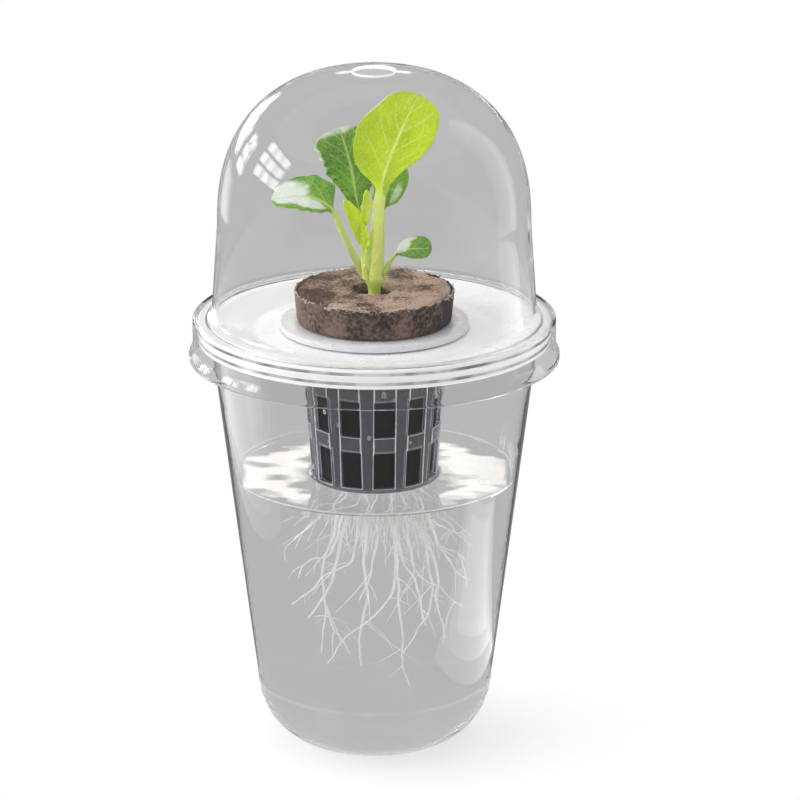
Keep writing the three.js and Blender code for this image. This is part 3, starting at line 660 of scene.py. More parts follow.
def fibrous(name, light, dark, wet, scales, depth, lean, dry_from):
    """Matted brown fibre, mottled from light to dark, paler to one side, and wet below a height."""
    finish, tree, shader = new_finish(name, {"Roughness": 0.9, "Specular IOR Level": 0.25})
    mat = use_group(tree, fibre_mat(), scales)
    place = place_parts(tree)
    share = sums(tree, "MULTIPLY_ADD", mat["Fibre"], 0.8, sums(tree, "MULTIPLY_ADD", mat["Patch"], 1.5, -0.9))
    # The lean makes one side paler; on the wrap this is painted light, a lit left side
    pale_share = ranged(tree, sums(tree, "MULTIPLY_ADD", place["X"], lean, share), 0.15, 0.65)
    dry = mixed(tree, pale_share, solid(dark), solid(light))
    soaked = ranged(tree, place["Z"], dry_from - 3.0 * MM, dry_from, 1.0, 0.0)
    relief = sums(tree, "MULTIPLY", mat["Fibre"], sums(tree, "SUBTRACT", 1.0, soaked))
    feed(tree, shader, {
        "Base Color": mixed(tree, soaked, dry, solid(wet)),
        "Roughness": ranged(tree, mat["Patch"], *MIDDLING, 0.75, 0.98),
        "Normal": bumped(tree, relief, depth),
    })
    return finish


def frayed_net(colours):
    """Pale torn bits of the net wrap."""
    finish, tree, shader = new_finish("frayed_net", {"Roughness": 0.8})
    mat = use_group(tree, fibre_mat(), {"Patch Scale": 400.0, "Fibre Scale": 1500.0})
    feed(tree, shader, {
        "Base Color": mixed(tree, mat["Patch"], dimmed(colours.fray, 0.55), solid(colours.fray)),
        "Normal": bumped(tree, mat["Fibre"], 0.1 * MM),
    })
    return finish


def pale_root(colours):
    """Moist white roots, a little yellow in places, with a faint painted glow."""
    # Painted glow: the roots give off a little light in their own colour
    finish, tree, shader = new_finish("pale_root", {
        "Roughness": 0.45, "Emission Color": solid(colours.root), "Emission Strength": 0.08, "Alpha": 0.64})
    aged = (share * part for share, part in zip((0.9, 0.86, 0.74), colours.root))
    patch = ranged(tree, noised(tree, in_place(tree), 220.0), 0.45, 0.75)
    feed(tree, shader, {
        "Base Color": mixed(tree, patch, solid(colours.root), solid(aged)),
        "Normal": bumped(tree, noised(tree, in_place(tree), 1800.0), 0.1 * MM),
    })
    return finish


def stem_skin(colours):
    """Ribbed green stem, paler upwards."""
    finish, tree, shader = new_finish("stem_skin", {"Roughness": 0.42})
    rise = ranged(tree, place_parts(tree)["Z"], PLUG.z - 1 * MM, STEM.z)
    drawn = put(tree, "ShaderNodeVectorMath", {0: in_place(tree), 1: (1.0, 1.0, 0.08)}, operation="MULTIPLY")
    ribs = noised(tree, drawn.outputs[0], 1600.0, detail=2.0)
    share = sums(tree, "MULTIPLY_ADD", ribs, 0.3, sums(tree, "SUBTRACT", rise, 0.15))
    feed(tree, shader, {
        "Base Color": mixed(tree, share, solid(colours.stem_low), solid(colours.stem_high)),
        "Normal": bumped(tree, ribs, 0.2 * MM),
    })
    return finish


def leaf_skin(name, blade, shade, vein, painted_sheen, veins, sheen, pucker):
    """Satin leaf with veins, soft patches, and a painted sheen, a pale colour where the leaf's map carries it.
    """
    finish, tree, shader = new_finish(name, {
        "Specular IOR Level": sheen, "Subsurface Weight": 0.12, "Subsurface Scale": 2 * MM,
        "Subsurface Radius": (0.5, 1.0, 0.15)})
    marks = use_group(tree, leaf_veins(), veins)
    where = in_place(tree)
    patch = ranged(tree, noised(tree, where, 130.0, detail=4.0), 0.35, 0.7)
    base = mixed(tree, patch, solid(blade), solid(shade))
    netted = mixed(tree, sums(tree, "MULTIPLY", marks["Net"], 0.18), base, solid(vein))
    ribbed = mixed(tree, sums(tree, "MULTIPLY", marks["Vein"], 0.85), netted, solid(vein))
    # Painted sheen: a pale colour where the leaf's map puts it, broken by flecks and clouds and kept off the
    # veins
    painted_sheen_share = put(tree, "ShaderNodeAttribute", attribute_name="painted_sheen").outputs["Fac"]
    flecks = centred(tree, noised(tree, where, 420.0), 0.7)
    clouds = centred(tree, noised(tree, where, 170.0), 1.1)
    flecked = sums(tree, "ADD", painted_sheen_share, sums(tree, "ADD", flecks, clouds))
    off_veins = sums(tree, "MULTIPLY_ADD", marks["Vein"], -0.4, 1.0)
    light_share = ranged(tree, sums(tree, "MULTIPLY", flecked, off_veins), 0.2, 1.0)
    quilt = sums(tree, "MULTIPLY", noised(tree, where, 300.0, detail=1.0), pucker)
    sunk_net = sums(tree, "MULTIPLY_ADD", marks["Net"], -0.3, quilt)
    feed(tree, shader, {
        "Base Color": mixed(tree, light_share, ribbed, solid(painted_sheen)),
        "Roughness": ranged(tree, patch, 0.0, 1.0, 0.3, 0.44),
        "Normal": bumped(tree, sums(tree, "MULTIPLY_ADD", marks["Vein"], -0.6, sunk_net), 0.3 * MM),
    })
    return finish


# The cup and its water

# The mould line above the cup's heel: half its height, and how far it stands out
LINE_HALF = 0.5 * MM
LINE_PROUD = 0.12 * MM

# Heights over the mould line where the cup's wall has a ring of points, in millimetres
WALL_RINGS = (0.5, 1.0, 2.0, 8.0, 24.0, 50.0, 80.0)

# The water's edge: how much the leaning wall takes it in, its run, its round, and the share that stays clear,
# above which lies a painted highlight
WALL_LEAN = 1.02
EDGE_RUN = 0.2 * MM
EDGE_ROUND = 0.9
EDGE_CLEAR = 0.45


def cup_radius(size, height):
    """Outside radius of the cup's straight wall at a height."""
    under_rim = CUP.z - size.cup_rim
    return size.cup_base + (CUP.x - size.cup_overhang - size.cup_base) * height / under_rim


def cup_floor(size, inset):
    """Outline corners of the cup's foot and heel, from the axis out, taken in from the outside by inset."""
    return [
        (0.0, size.punt_depth + inset),
        (size.punt_radius, size.punt_depth + inset, 0.8 * MM),
        (size.punt_radius + size.punt_run, inset, 0.8 * MM),
        (cup_radius(size, inset) - inset, inset, size.cup_heel - inset),
    ]


def build_cup(size, colours):
    """Makes the cup, with a faint mould line where its heel ends."""
    under_rim = CUP.z - size.cup_rim
    wall = size.cup_wall
    line = size.cup_heel - LINE_HALF
    rings = [line + step * MM for step in WALL_RINGS]
    outside = cup_floor(size, 0.0) + [
        (cup_radius(size, line - LINE_HALF), line - LINE_HALF),
        (cup_radius(size, line) + LINE_PROUD, line),
        *((cup_radius(size, height), height) for height in rings),
        (cup_radius(size, under_rim), under_rim, 0.5 * MM),
        (CUP.x, under_rim, 1.2 * MM),
        (CUP.x, CUP.z, 1.3 * MM),
        (cup_radius(size, CUP.z) - wall, CUP.z, 0.5 * MM),
    ]
    shape = turned(rounded(outside + cup_floor(size, wall)[::-1]))
    paint(shape, 1, lambda middle: abs(middle.z - line) < LINE_HALF
          and middle.xy.length > cup_radius(size, middle.z) - NEAR)
    finish = clear_plastic("clear_cup_plastic", colours, CUP_BEND)
    new_piece("clear_cup", shape, "reservoir_cup", "cup", "clear_plastic", finish, mould_line(colours))


def pot_radius(size, height):
    """Outside radius of the net pot's wall at a height."""
    under = POT.z - size.flange_height
    return size.pot_foot + (size.pot_top - size.pot_foot) * (height - POT_FOOT.z) / (under - POT_FOOT.z)


def build_water(size, plant, colours):
    """Makes the water, which climbs a little at the cup and at the net pot's foot."""
    gap = size.water_gap
    inset = size.cup_wall + gap
    level = WATER.z
    crest = level + size.meniscus
    bend = EDGE_ROUND * size.meniscus
    wall = cup_radius(size, crest) - WALL_LEAN * inset
    pot = pot_radius(plant, crest) + gap
    surface = [
        (wall, crest),
        (wall - EDGE_RUN, level, bend),
        (pot + EDGE_RUN, level, bend),
        (pot, crest),
        (plant.pot_foot + gap, POT_FOOT.z - gap),
        (0.0, POT_FOOT.z - gap),
    ]
    shape = turned(rounded(cup_floor(size, inset) + surface))
    # The top of the water's climb at the cup gets the painted highlight
    paint(shape, 1, lambda middle: middle.z > level + EDGE_CLEAR * size.meniscus
          and middle.xy.length > 2 * pot - plant.pot_foot)
    new_piece("cup_water", shape, "nutrient_water", "cup", "water", still_water(colours), water_edge_highlight(colours))


# The tray

# The grooves: how much wider their mouth is than their floor, and how far the painted shade in them reaches
GROOVE_MOUTH = 1.4
GROOVE_REACH = 0.45 * MM

# The round at the foot of the dish's slope
DISH_ROUND = 9.0 * MM


def groove(radius, height, depth, half):
    """Outline corners of a small groove: its place, its depth, and half its width along the outline."""
    steps = ((0, -GROOVE_MOUTH), (1, -1), (1, 1), (0, GROOVE_MOUTH))
    return [(radius + deep * depth[0] + along * half[0], height + deep * depth[1] + along * half[1])
            for deep, along in steps]


def build_tray(size, colours):
    """Makes the tray, with painted shade in the three grooves round its rim, its band and its lip."""
    top = TRAY.z
    floor = top - size.dish_depth
    foot = size.dish_radius - size.dish_run
    under = top - size.tray_wall
    band = top - size.band_depth
    lip = TRAY.x - size.band_step
    rim_groove = ((size.dish_radius + TRAY.x) / 2, top)
    band_groove = (TRAY.x, (top + band) / 2)
    lip_groove = (lip, (band + TRAY_FOOT.z) / 2)
    corners = [
        (size.tray_hole, floor - size.tray_wall, 0.3 * MM),
        (size.tray_hole, floor, 0.3 * MM),
        (foot, floor, DISH_ROUND),
        (size.dish_radius, top, 1.2 * MM),
        *groove(*rim_groove, (0.0, -0.3 * MM), (0.35 * MM, 0.0)),
        (TRAY.x, top, 0.6 * MM),
        *groove(*band_groove, (-0.25 * MM, 0.0), (0.0, -0.3 * MM)),
        (TRAY.x, band, 0.2 * MM),
        (lip, band, 0.15 * MM),
        *groove(*lip_groove, (-0.2 * MM, 0.0), (0.0, -0.3 * MM)),
        (lip, TRAY_FOOT.z, 0.3 * MM),
        (lip - size.lip_wall, TRAY_FOOT.z, 0.3 * MM),
        (lip - size.lip_wall, under, 0.4 * MM),
        (size.dish_radius, under, 1.2 * MM),
        (foot, floor - size.tray_wall, DISH_ROUND),
    ]
    shape = turned(rounded(corners, closed=True))
    grooves = (rim_groove, band_groove, lip_groove)
    # The faces in the grooves get the painted shade
    paint(shape, 1, lambda middle: any(
        math.hypot(middle.xy.length - radius, middle.z - height) < GROOVE_REACH
        for radius, height in grooves))
    new_piece("white_tray", shape, "planting_tray", "tray", "white_plastic", white_plastic(colours),
              painted_shade_groove(colours))


# The net pot

WINDOW_PAIRS = 6
WINDOW_PITCH = math.pi / WINDOW_PAIRS
WINDOW_TURN = math.radians(8.7)
SLOT_TURN = math.radians(6.3)
SLOT_HALF = math.radians(22)

# The grid of one sector: its columns, the rows and columns of faces that are cut out for the windows and for
# the slot, and the last row of points on the wall
POT_COLUMNS = 16
HALF_COLUMNS = POT_COLUMNS // 2
WINDOW_ROWS = (3, 5)
WINDOW_STEPS = 2
WINDOW_SPAN = (2, 2 + 2 * WINDOW_STEPS)
SLOT_ROW = 8
SLOT_STEPS = 6
SLOT_SPAN = (2, 2 + 2 * SLOT_STEPS)
LAST_WALL_ROW = 6

# What is bevelled: folds over this angle, and edges in line with a window's side, which rise at least this
# far and lie this near to the line
BEVELLED = math.radians(50)
RIB_RISE = 2.0 * MM
RIB_NEAR = 0.02 * MM

# Edges of the net pot that fold by more than this show sharp
POT_CREASE = math.radians(25)

# Numbers of the net pot's finishes
EDGE_HIGHLIGHT_FINISH, DROP_FINISH, FLANGE_FINISH = 1, 2, 3


def pot_rows(size):
    """Radius and height of the net pot's outer surface, row by row from the flange's edge to the hub."""
    under = POT.z - size.flange_height
    rows = [(POT.x, under), ((POT.x + size.pot_top) / 2, under), (size.pot_top, under)]
    height = under
    for drop in (size.band_height, size.window_height, size.hoop_height, size.window_height):
        height -= drop
        rows.append((pot_radius(size, height), height))
    rows.append((size.pot_foot, POT_FOOT.z))
    rows += [(size.slot_radius, POT_FOOT.z), (size.hub_radius, POT_FOOT.z), (0.0, POT_FOOT.z)]
    return rows


def fan(reach, steps):
    """Turns from one end of a reach to the other, with this many steps on either side of 0."""
    return [reach * step / steps for step in range(-steps, steps + 1)]


def pot_angle(size, column, radius, on_floor):
    """Turn of a column of the sector that holds two windows above and one slot below."""
    half = WINDOW_PITCH
    if on_floor:
        edge = half - SLOT_HALF
        turns = [-half, edge / 2 - half, *fan(SLOT_HALF, SLOT_STEPS), half - edge / 2, half]
        return turns[column] + SLOT_TURN
    if column == POT_COLUMNS:
        return half
    opening = math.asin(size.window_width / 2 / radius)
    bar = half / 2 - opening
    turns = [-half / 2, -half / 2 + bar / 2, *fan(opening, WINDOW_STEPS), half / 2 - bar / 2]
    return turns[column % HALF_COLUMNS] + (half / 2 if column >= HALF_COLUMNS else -half / 2)


def pot_sector(size):
    """The outer surface of one sector of the net pot, with its windows and its slot cut out."""
    rows = pot_rows(size)
    last = len(rows) - 1
    shape = bmesh.new()
    bmesh.ops.create_grid(shape, x_segments=POT_COLUMNS, y_segments=last, size=0.5)
    gone = []
    for face in shape.faces:
        middle = face.calc_center_median()
        column = (middle.x + 0.5) * POT_COLUMNS
        row = int((middle.y + 0.5) * last)
        window = row in WINDOW_ROWS and WINDOW_SPAN[0] < column % HALF_COLUMNS < WINDOW_SPAN[1]
        slot = row == SLOT_ROW and SLOT_SPAN[0] < column < SLOT_SPAN[1]
        if window or slot:
            gone.append(face)
    bmesh.ops.delete(shape, geom=gone, context="FACES")
    start = WINDOW_TURN + WINDOW_PITCH / 2 - math.pi / 2
    for spot in shape.verts:
        row = round((spot.co.y + 0.5) * last)
        column = round((spot.co.x + 0.5) * POT_COLUMNS)
        radius, height = rows[row]
        turn = start + pot_angle(size, column, max(radius, size.hub_radius), row > LAST_WALL_ROW)
        spot.co = (radius * math.cos(turn), radius * math.sin(turn), height)
    return shape


def on_rib(size, edge):
    """Whether an edge runs up the outside of the pot, in line with the side of a window."""
    start, end = (spot.co for spot in edge.verts)
    if abs(start.z - end.z) < RIB_RISE or max(start.z, end.z) > POT.z - size.flange_height + WELD:
        return False
    for point in (start, end):
        turn = math.atan2(point.y, point.x) + math.pi / 2 - WINDOW_TURN
        aside = abs((turn + WINDOW_PITCH / 2) % WINDOW_PITCH - WINDOW_PITCH / 2)
        off_line = abs(point.xy.length * math.sin(aside) - size.window_width / 2)
        if off_line > RIB_NEAR or point.xy.length < pot_radius(size, point.z) - NEAR:
            return False
    return True


# Droplets on the net pot, in millimetres: across, up and half width; and how they are pressed flat
DROPLETS = [(-13.7, 99.3, 0.7), (-9.8, 96.4, 0.8), (-1.5, 93.4, 0.75), (-16.8, 80.9, 0.8), (17, 102.8, 1.0),
            (2.6, 106.2, 0.9), (-12.6, 90.8, 0.5), (9.8, 91.2, 0.55), (5.2, 104.4, 0.5)]
DROPLET_FLAT = (0.85, 0.5, 1.0, 1.0)


def add_droplets(shape, size):
    """Adds drops of water that cling to the pot's outside."""
    for across, height, half in DROPLETS:
        radius = pot_radius(size, height * MM)
        made = bmesh.ops.create_icosphere(shape, subdivisions=2, radius=half * MM)["verts"]
        place = Matrix.Translation((0.0, -radius, height * MM)) @ Matrix.Diagonal(DROPLET_FLAT)
        turn = Matrix.Rotation(math.asin(across * MM / radius), 4, "Z")
        bmesh.ops.transform(shape, matrix=turn @ place, verts=made)
        for face in {face for spot in made for face in spot.link_faces}:
            face.material_index = DROP_FINISH


def build_net_pot(size, colours):
    """Makes the net pot: one sector, repeated round the axis, thickened and bevelled."""
    shape = pot_sector(size)
    bmesh.ops.spin(
        shape, geom=shape.verts[:] + shape.edges[:] + shape.faces[:], cent=(0, 0, 0), axis=(0, 0, 1),
        angle=math.tau * (WINDOW_PAIRS - 1) / WINDOW_PAIRS, steps=WINDOW_PAIRS - 1, use_duplicate=True)
    bmesh.ops.remove_doubles(shape, verts=shape.verts, dist=10 * WELD)
    bmesh.ops.recalc_face_normals(shape, faces=shape.faces)
    outer = max(shape.faces, key=lambda face: face.calc_center_median().xy.length)
    if outer.normal.z > 0:
        bmesh.ops.reverse_faces(shape, faces=shape.faces)
    bmesh.ops.solidify(shape, geom=shape.faces[:], thickness=size.pot_wall)
    # The flange is thicker than the wall
    under = POT.z - size.flange_height
    for spot in shape.verts:
        if spot.co.z > under + 0.3 * MM:
            spot.co.z = POT.z
    sharp = [edge for edge in shape.edges if edge.calc_face_angle(0.0) > BEVELLED or on_rib(size, edge)]
    rims = bmesh.ops.bevel(
        shape, geom=sharp, offset=size.pot_edge, affect="EDGES", segments=2, profile=0.5, material=-1,
        clamp_overlap=True)["faces"]
    bmesh.ops.recalc_face_normals(shape, faces=shape.faces)
    # Upright rims get a painted highlight, a pale finish
    for face in rims:
        if abs(face.normal.z) < 0.4 and face.calc_center_median().z < under - 1.0 * MM:
            face.material_index = EDGE_HIGHLIGHT_FINISH
    # The flange gets the painted pale finish, for the tray's light seen through it
    paint(shape, FLANGE_FINISH, lambda middle: middle.z > under - NEAR)
    add_droplets(shape, size)
    new_piece("smoky_net_pot", shape, "net_pot", "basket", "smoky_plastic", smoky_plastic(colours),
              smoky_edge_highlight(colours), droplet(colours), painted_pale_flange(colours), crease=POT_CREASE)


# The plug and its net wrap

# Dents in the plug's top: how far in from its edge they reach, how deep they are, and how wide
DENT_REACH = 2.5 * MM
DENT_DEPTH = 0.5 * MM
DENT_WIDTH = 9 * MM

# The wrap's uneven hem: how far down it reaches, how far it wanders, and how fine its two patterns are
HEM_REACH = 1.2 * MM
HEM_WANDER = 0.45 * MM
HEM_COARSE = 9
HEM_FINE = 40

# Torn bits along the hem: how many, and the ranges of their length, width and bow in millimetres
FRAY_COUNT = 90
FRAY_SEED = 11
FRAY_LENGTH = (0.5, 1.5)
FRAY_WIDTH = (0.12, 0.28)
FRAY_BOW = (0.1, 0.35)


def wrap_side(size, inset):
    """Outline of the net wrap's outside from the net pot's floor up to the crown, taken in by inset."""
    seat = POT.z + 0.3 * MM + inset
    return [
        (size.wrap_foot - inset, WRAP_FOOT.z + inset, 0.6 * MM),
        (size.wrap_mouth - inset, POT.z - size.flange_height),
        (size.wrap_mouth - inset, seat, 0.3 * MM),
        (size.wrap_crown - inset, seat, 0.9 * MM),
        (WRAP.x - inset, WRAP.z),
    ]


def build_plug(size, colours):
    """Makes the plug, whose side follows the wrap, with its planting hole and rough top."""
    inset = size.wrap_wall + size.plug_gap
    corners = [
        (0.0, WRAP_FOOT.z + inset),
        *wrap_side(size, inset)[:-1],
        (WRAP.x - inset, PLUG.z, size.plug_round),
        (size.hole_radius, PLUG.z, 0.9 * MM),
        (size.hole_radius * 0.85, PLUG.z - size.hole_depth, 1.0 * MM),
        (0.0, PLUG.z - size.hole_depth),
    ]
    shape = turned(divided(rounded(corners), 0.7 * MM), FIBRE_TURN_STEPS)
    for spot in shape.verts:
        if spot.co.z > PLUG.z - DENT_REACH and spot.co.xy.length > size.hole_radius:
            spot.co.z -= DENT_DEPTH * noise.noise(spot.co / DENT_WIDTH)
    roughened(shape, size.plug_grain, 2.2 * MM, POT.z)
    scales = {"Patch Scale": 130.0, "Fibre Scale": 1300.0, "Flatten": 1.2}
    finish = fibrous("peat", colours.peat_light, colours.peat_dark, colours.peat_wet, scales,
                     depth=1.0 * MM, lean=8.0, dry_from=PLUG.z - 0.6 * MM)
    new_piece("peat_plug", shape, "growing_plug", "basket", "peat", finish)


def add_fray(shape):
    """Adds small torn bits of net along the wrap's hem."""
    draw = random.Random(FRAY_SEED)
    for _ in range(FRAY_COUNT):
        long = draw.uniform(*FRAY_LENGTH) * MM
        wide = draw.uniform(*FRAY_WIDTH) * MM
        turn = draw.uniform(0.0, math.tau)
        made = bmesh.ops.create_grid(shape, x_segments=3, y_segments=1, size=0.5)["verts"]
        for spot in made:
            bow = math.cos(spot.co.x * math.pi) * draw.uniform(*FRAY_BOW) * MM
            spot.co = (spot.co.x * 2 * long, bow, spot.co.y * 2 * wide)
        lean = Matrix.Rotation(draw.gauss(0.0, 0.35), 4, "Y")
        tilt = lean @ Matrix.Rotation(draw.uniform(-0.9, 0.5), 4, "X")
        lift = draw.gauss(0.1, 0.22) * MM
        on_hem = Matrix.Translation((0.0, -WRAP.x - 0.02 * MM, WRAP.z + lift))
        bmesh.ops.transform(shape, matrix=Matrix.Rotation(turn, 4, "Z") @ on_hem @ tilt, verts=made)
        bits = {face for spot in made for face in spot.link_faces}
        for face in bits:
            face.material_index = 1
        bmesh.ops.solidify(shape, geom=list(bits), thickness=0.1 * MM)


def build_wrap(size, colours):
    """Makes the net wrap, with an uneven, frayed hem."""
    outside = wrap_side(size, 0.0)
    inside = wrap_side(size, size.wrap_wall)
    points = divided(rounded([*outside, *inside[::-1]], closed=True), 0.8 * MM)
    shape = turned(points, FIBRE_TURN_STEPS)
    for spot in shape.verts:
        near_hem = max(0.0, 1 - (WRAP.z - spot.co.z) / HEM_REACH)
        turn = math.atan2(spot.co.y, spot.co.x)
        wander = noise.noise((HEM_COARSE * math.cos(turn), HEM_COARSE * math.sin(turn), 0.0))
        wander += 0.7 * noise.noise((HEM_FINE * math.cos(turn), HEM_FINE * math.sin(turn), 3.0))
        spot.co.z += near_hem * wander * HEM_WANDER
    roughened(shape, 0.14 * MM, 1.6 * MM, POT.z)
    add_fray(shape)
    scales = {"Patch Scale": 80.0, "Fibre Scale": 1000.0, "Flatten": 0.8}
    # The wrap is painted paler towards its left, a painted lit side
    finish = fibrous("net_wrap", colours.wrap_light, colours.wrap_dark, colours.wrap_wet, scales,
                     depth=0.7 * MM, lean=-8.0, dry_from=POT.z + 0.5 * MM)
    new_piece("net_wrap", shape, "plug_sleeve", "basket", "net_fabric", finish, frayed_net(colours))


# The seedling

# Flutes of the stem: how many, and how deep as a share of its radius
FLUTES = 5
FLUTE_DEPTH = 0.05

# Fineness of a leaf: steps along it and round it
LEAF_STEPS = 84
LEAF_ROUND = 40

# Shares of a leaf: how much its stalk thins, where its blade has grown flat, and how much of it is round tip
STALK_THINS = 0.45
BLADE_FLAT = 0.25
TIP = 0.1

# How fine the unevenness of a blade's edge is, and how its two sides are kept from matching
CRINKLES = 14
SIDE_NOISE = 3.7
SIDE_PHASE = 1.7

# Each leaf's line in millimetres from the centre of the stem's top, the way its blade faces, the share of the
# line that is stalk, half widths to either side at even steps along the blade, half width of the stalk, curl,
# ruffle (depth and waves), how uneven its edge is, and spots of painted sheen, a pale colour that stands in
# for reflected light (length, width, reach along, reach across, strength). A leaf may have a skin other than
# its slot's, and leaflets that grow from it.
LEAVES = {
    "leaf_large": {
        "name": "large_leaf",
        "slot": "bright_leaf",
        "line": [(0.2, -1.5, -1.2), (0.3, -1.6, 1.8), (0.7, -2.2, 12), (1.6, -1.8, 22), (3.6, 0, 30.2),
                 (7.4, 2.4, 39.8), (12.2, 6, 49)],
        "facing": (-0.1, -1.0, 0.3),
        "stalk": 0.43,
        "widths": ((1.5, 4.2, 8.8, 10.6, 11.1, 10.6, 8.8, 6.8, 4.2),
                   (1.5, 2.2, 3.9, 6.2, 8.3, 9.2, 9.2, 8.2, 6.2)),
        "stalk_width": 1.9,
        "curl": 0.12,
        "ruffle": (0.4, 4.0),
        "crinkle": 0.04,
        "painted_sheen": [(0.78, 1.0, 0.22, 0.06, 0.8)],
    },
    "leaf_rear": {
        "name": "rear_leaf",
        "slot": "dark_leaf",
        "line": [(-0.9, 1.7, -1.2), (-1.1, 2.3, 1.8), (-2.4, 3.8, 9.8), (-4.8, 6, 18.8), (-6.6, 8, 28.8),
                 (-9.6, 10.5, 38.6)],
        "facing": (0.2, -1.0, 0.2),
        "stalk": 0.4,
        "widths": ((0.9, 1.7, 3.3, 5, 6.6, 7.6, 8.2, 8, 6), (0.9, 2.2, 4.1, 5.7, 6.6, 7, 7, 6.4, 4.8)),
        "stalk_width": 1.0,
        "curl": 0.16,
        "ruffle": (1.2, 9.0),
        "crinkle": 0.13,
        "painted_sheen": [(1.0, 0.0, 0.1, 2.0, 0.85), (0.8, 1.0, 0.3, 0.14, 0.85), (0.85, -1.0, 0.2, 0.16, 0.8)],
    },
    "leaf_left": {
        "name": "left_leaf",
        "slot": "dark_leaf",
        "line": [(-2.4, 0.4, -1.2), (-3.6, 0.2, 0.8), (-6.6, -1.6, 7.4), (-9.2, -3.2, 13.8),
                 (-11.6, -4, 18.8), (-18, -4.8, 22.8), (-28, -5, 22.2)],
        "facing": (-0.1, -0.6, 0.8),
        "stalk": 0.54,
        "widths": ((1, 2.4, 3.9, 4.8, 5.2, 4.8, 4.1, 3.2, 2.2),
                   (2.6, 5.8, 6.9, 7.2, 6.8, 6.2, 5.6, 4.4, 2.6)),
        "stalk_width": 1.15,
        "curl": 0.1,
        "ruffle": (0.3, 5.0),
        "crinkle": 0.05,
        "painted_sheen": [(0.8, -0.2, 0.42, 0.95, 1.3), (0.42, 0.4, 0.34, 0.45, 1.3)],
    },
    "leaf_hidden": {
        "name": "hidden_leaf",
        "slot": "dark_leaf",
        "line": [(1.3, 1.6, -1.2), (1.8, 2.2, 1.4), (2.2, 6.4, 10), (2.8, 11, 17.5), (6.4, 14.2, 28)],
        "facing": (0.0, -1.0, 0.1),
        "stalk": 0.56,
        "widths": ((1, 2.8, 4.2, 5, 5.2, 5.2, 4.8, 4, 2.6), (1, 2.6, 3.8, 4.4, 4.7, 4.8, 4.6, 3.8, 2.6)),
        "stalk_width": 0.9,
        "curl": 0.1,
        "ruffle": (0.6, 6.0),
        "painted_sheen": [(0.4, -0.6, 0.3, 0.35, 0.7), (0.45, 0.9, 0.4, 0.3, 0.9)],
    },
    "leaf_young": {
        "name": "young_leaf",
        "slot": "bright_leaf",
        "skin": "young_leaf",
        "line": [(-2.2, -1.6, -1.2), (-2.6, -1.8, 1.2), (-3.4, -2.2, 8.8), (-4.9, -3.2, 14.8),
                 (-8.2, -4.6, 21.8)],
        "facing": (0.5, -1.0, 0.0),
        "stalk": 0.4,
        "widths": ((0.8, 1.3, 1.8, 2, 2, 1.9, 1.6, 1.3, 1), (0.8, 1.4, 2, 2.2, 2.2, 2.1, 1.9, 1.5, 1.1)),
        "stalk_width": 0.9,
        "curl": 0.35,
        "ruffle": (0.3, 4.0),
        "painted_sheen": [],
        "leaflets": [
            {
                "line": [(-3, -2.2, 4), (-3.2, -2.6, 11), (-2.6, -3, 17.6), (-2, -3, 24.4)],
                "facing": (0.6, -1.0, 0.0),
                "stalk": 0.42,
                "widths": ((0.5, 0.9, 1.4, 1.7, 1.4, 1.7, 1.5, 1.1, 0.6),
                           (0.5, 0.8, 1.3, 1.1, 1.5, 1.6, 1.2, 0.9, 0.5)),
                "stalk_width": 0.6,
                "curl": 0.4,
                "ruffle": (0.5, 3.0),
                "painted_sheen": [(0.7, 0.6, 0.3, 0.5, 0.6)],
            },
            {
                "line": [(-2.6, -2.4, 2), (-2.2, -3.2, 8), (-2.4, -3.6, 12), (-3, -3.8, 15.4)],
                "facing": (-0.3, -1.0, 0.0),
                "stalk": 0.4,
                "widths": ((0.5, 0.9, 1.2, 1.4, 1.4, 1.3, 1.1, 0.8, 0.5),
                           (0.5, 0.8, 1.2, 1.1, 1.3, 1.2, 1, 0.7, 0.4)),
                "stalk_width": 0.6,
                "curl": 0.4,
                "ruffle": (0.5, 4.0),
                "painted_sheen": [],
            },
        ],
    },
    "seed_leaf": {
        "name": "small_seed_leaf",
        "slot": "dark_leaf",
        "line": [(2, 0.1, -1.4), (2.9, -0.3, 0.4), (5.2, -0.6, 4.8), (8.6, -1.2, 6.8), (15.8, -2.2, 7.4)],
        "facing": (0.0, -0.6, 0.8),
        "stalk": 0.42,
        "widths": ((0.9, 2, 3.1, 3.9, 4.3, 4.4, 4.1, 3.5, 2.4), (0.8, 1.4, 2.1, 2.8, 3.2, 3.5, 3.4, 3, 2)),
        "stalk_width": 0.8,
        "curl": 0.08,
        "ruffle": (0.12, 3.0),
        "painted_sheen": [(0.05, 0.5, 0.46, 1.2, 1.5), (0.3, 0.85, 0.34, 0.4, 0.9)],
    },
}


def build_stem(colours):
    """Makes the stem, fluted where it leaves the plug."""
    top = STEM.z
    waist = PLUG.z
    foot = 1.7 * MM
    corners = [
        (0.0, STEM_FOOT.z),
        (foot, STEM_FOOT.z, 0.6 * MM),
        (foot, waist, 4.0 * MM),
        (STEM.x, top - 1.6 * MM, 1.4 * MM),
        (1.6 * MM, top, 0.8 * MM),
        (0.0, top - 0.3 * MM),
    ]
    shape = turned(divided(rounded(corners), 0.4 * MM), STEM_TURN_STEPS)
    for spot in shape.verts:
        turn = math.atan2(spot.co.y, spot.co.x)
        flute = 1 + FLUTE_DEPTH * math.cos(FLUTES * turn) * min(1.0, max(0.0, (spot.co.z - waist) / (2 * MM)))
        spot.co.x *= flute
        spot.co.y *= flute
    new_piece("pale_stem", shape, "seedling_stem", "basket", "stem", stem_skin(colours))


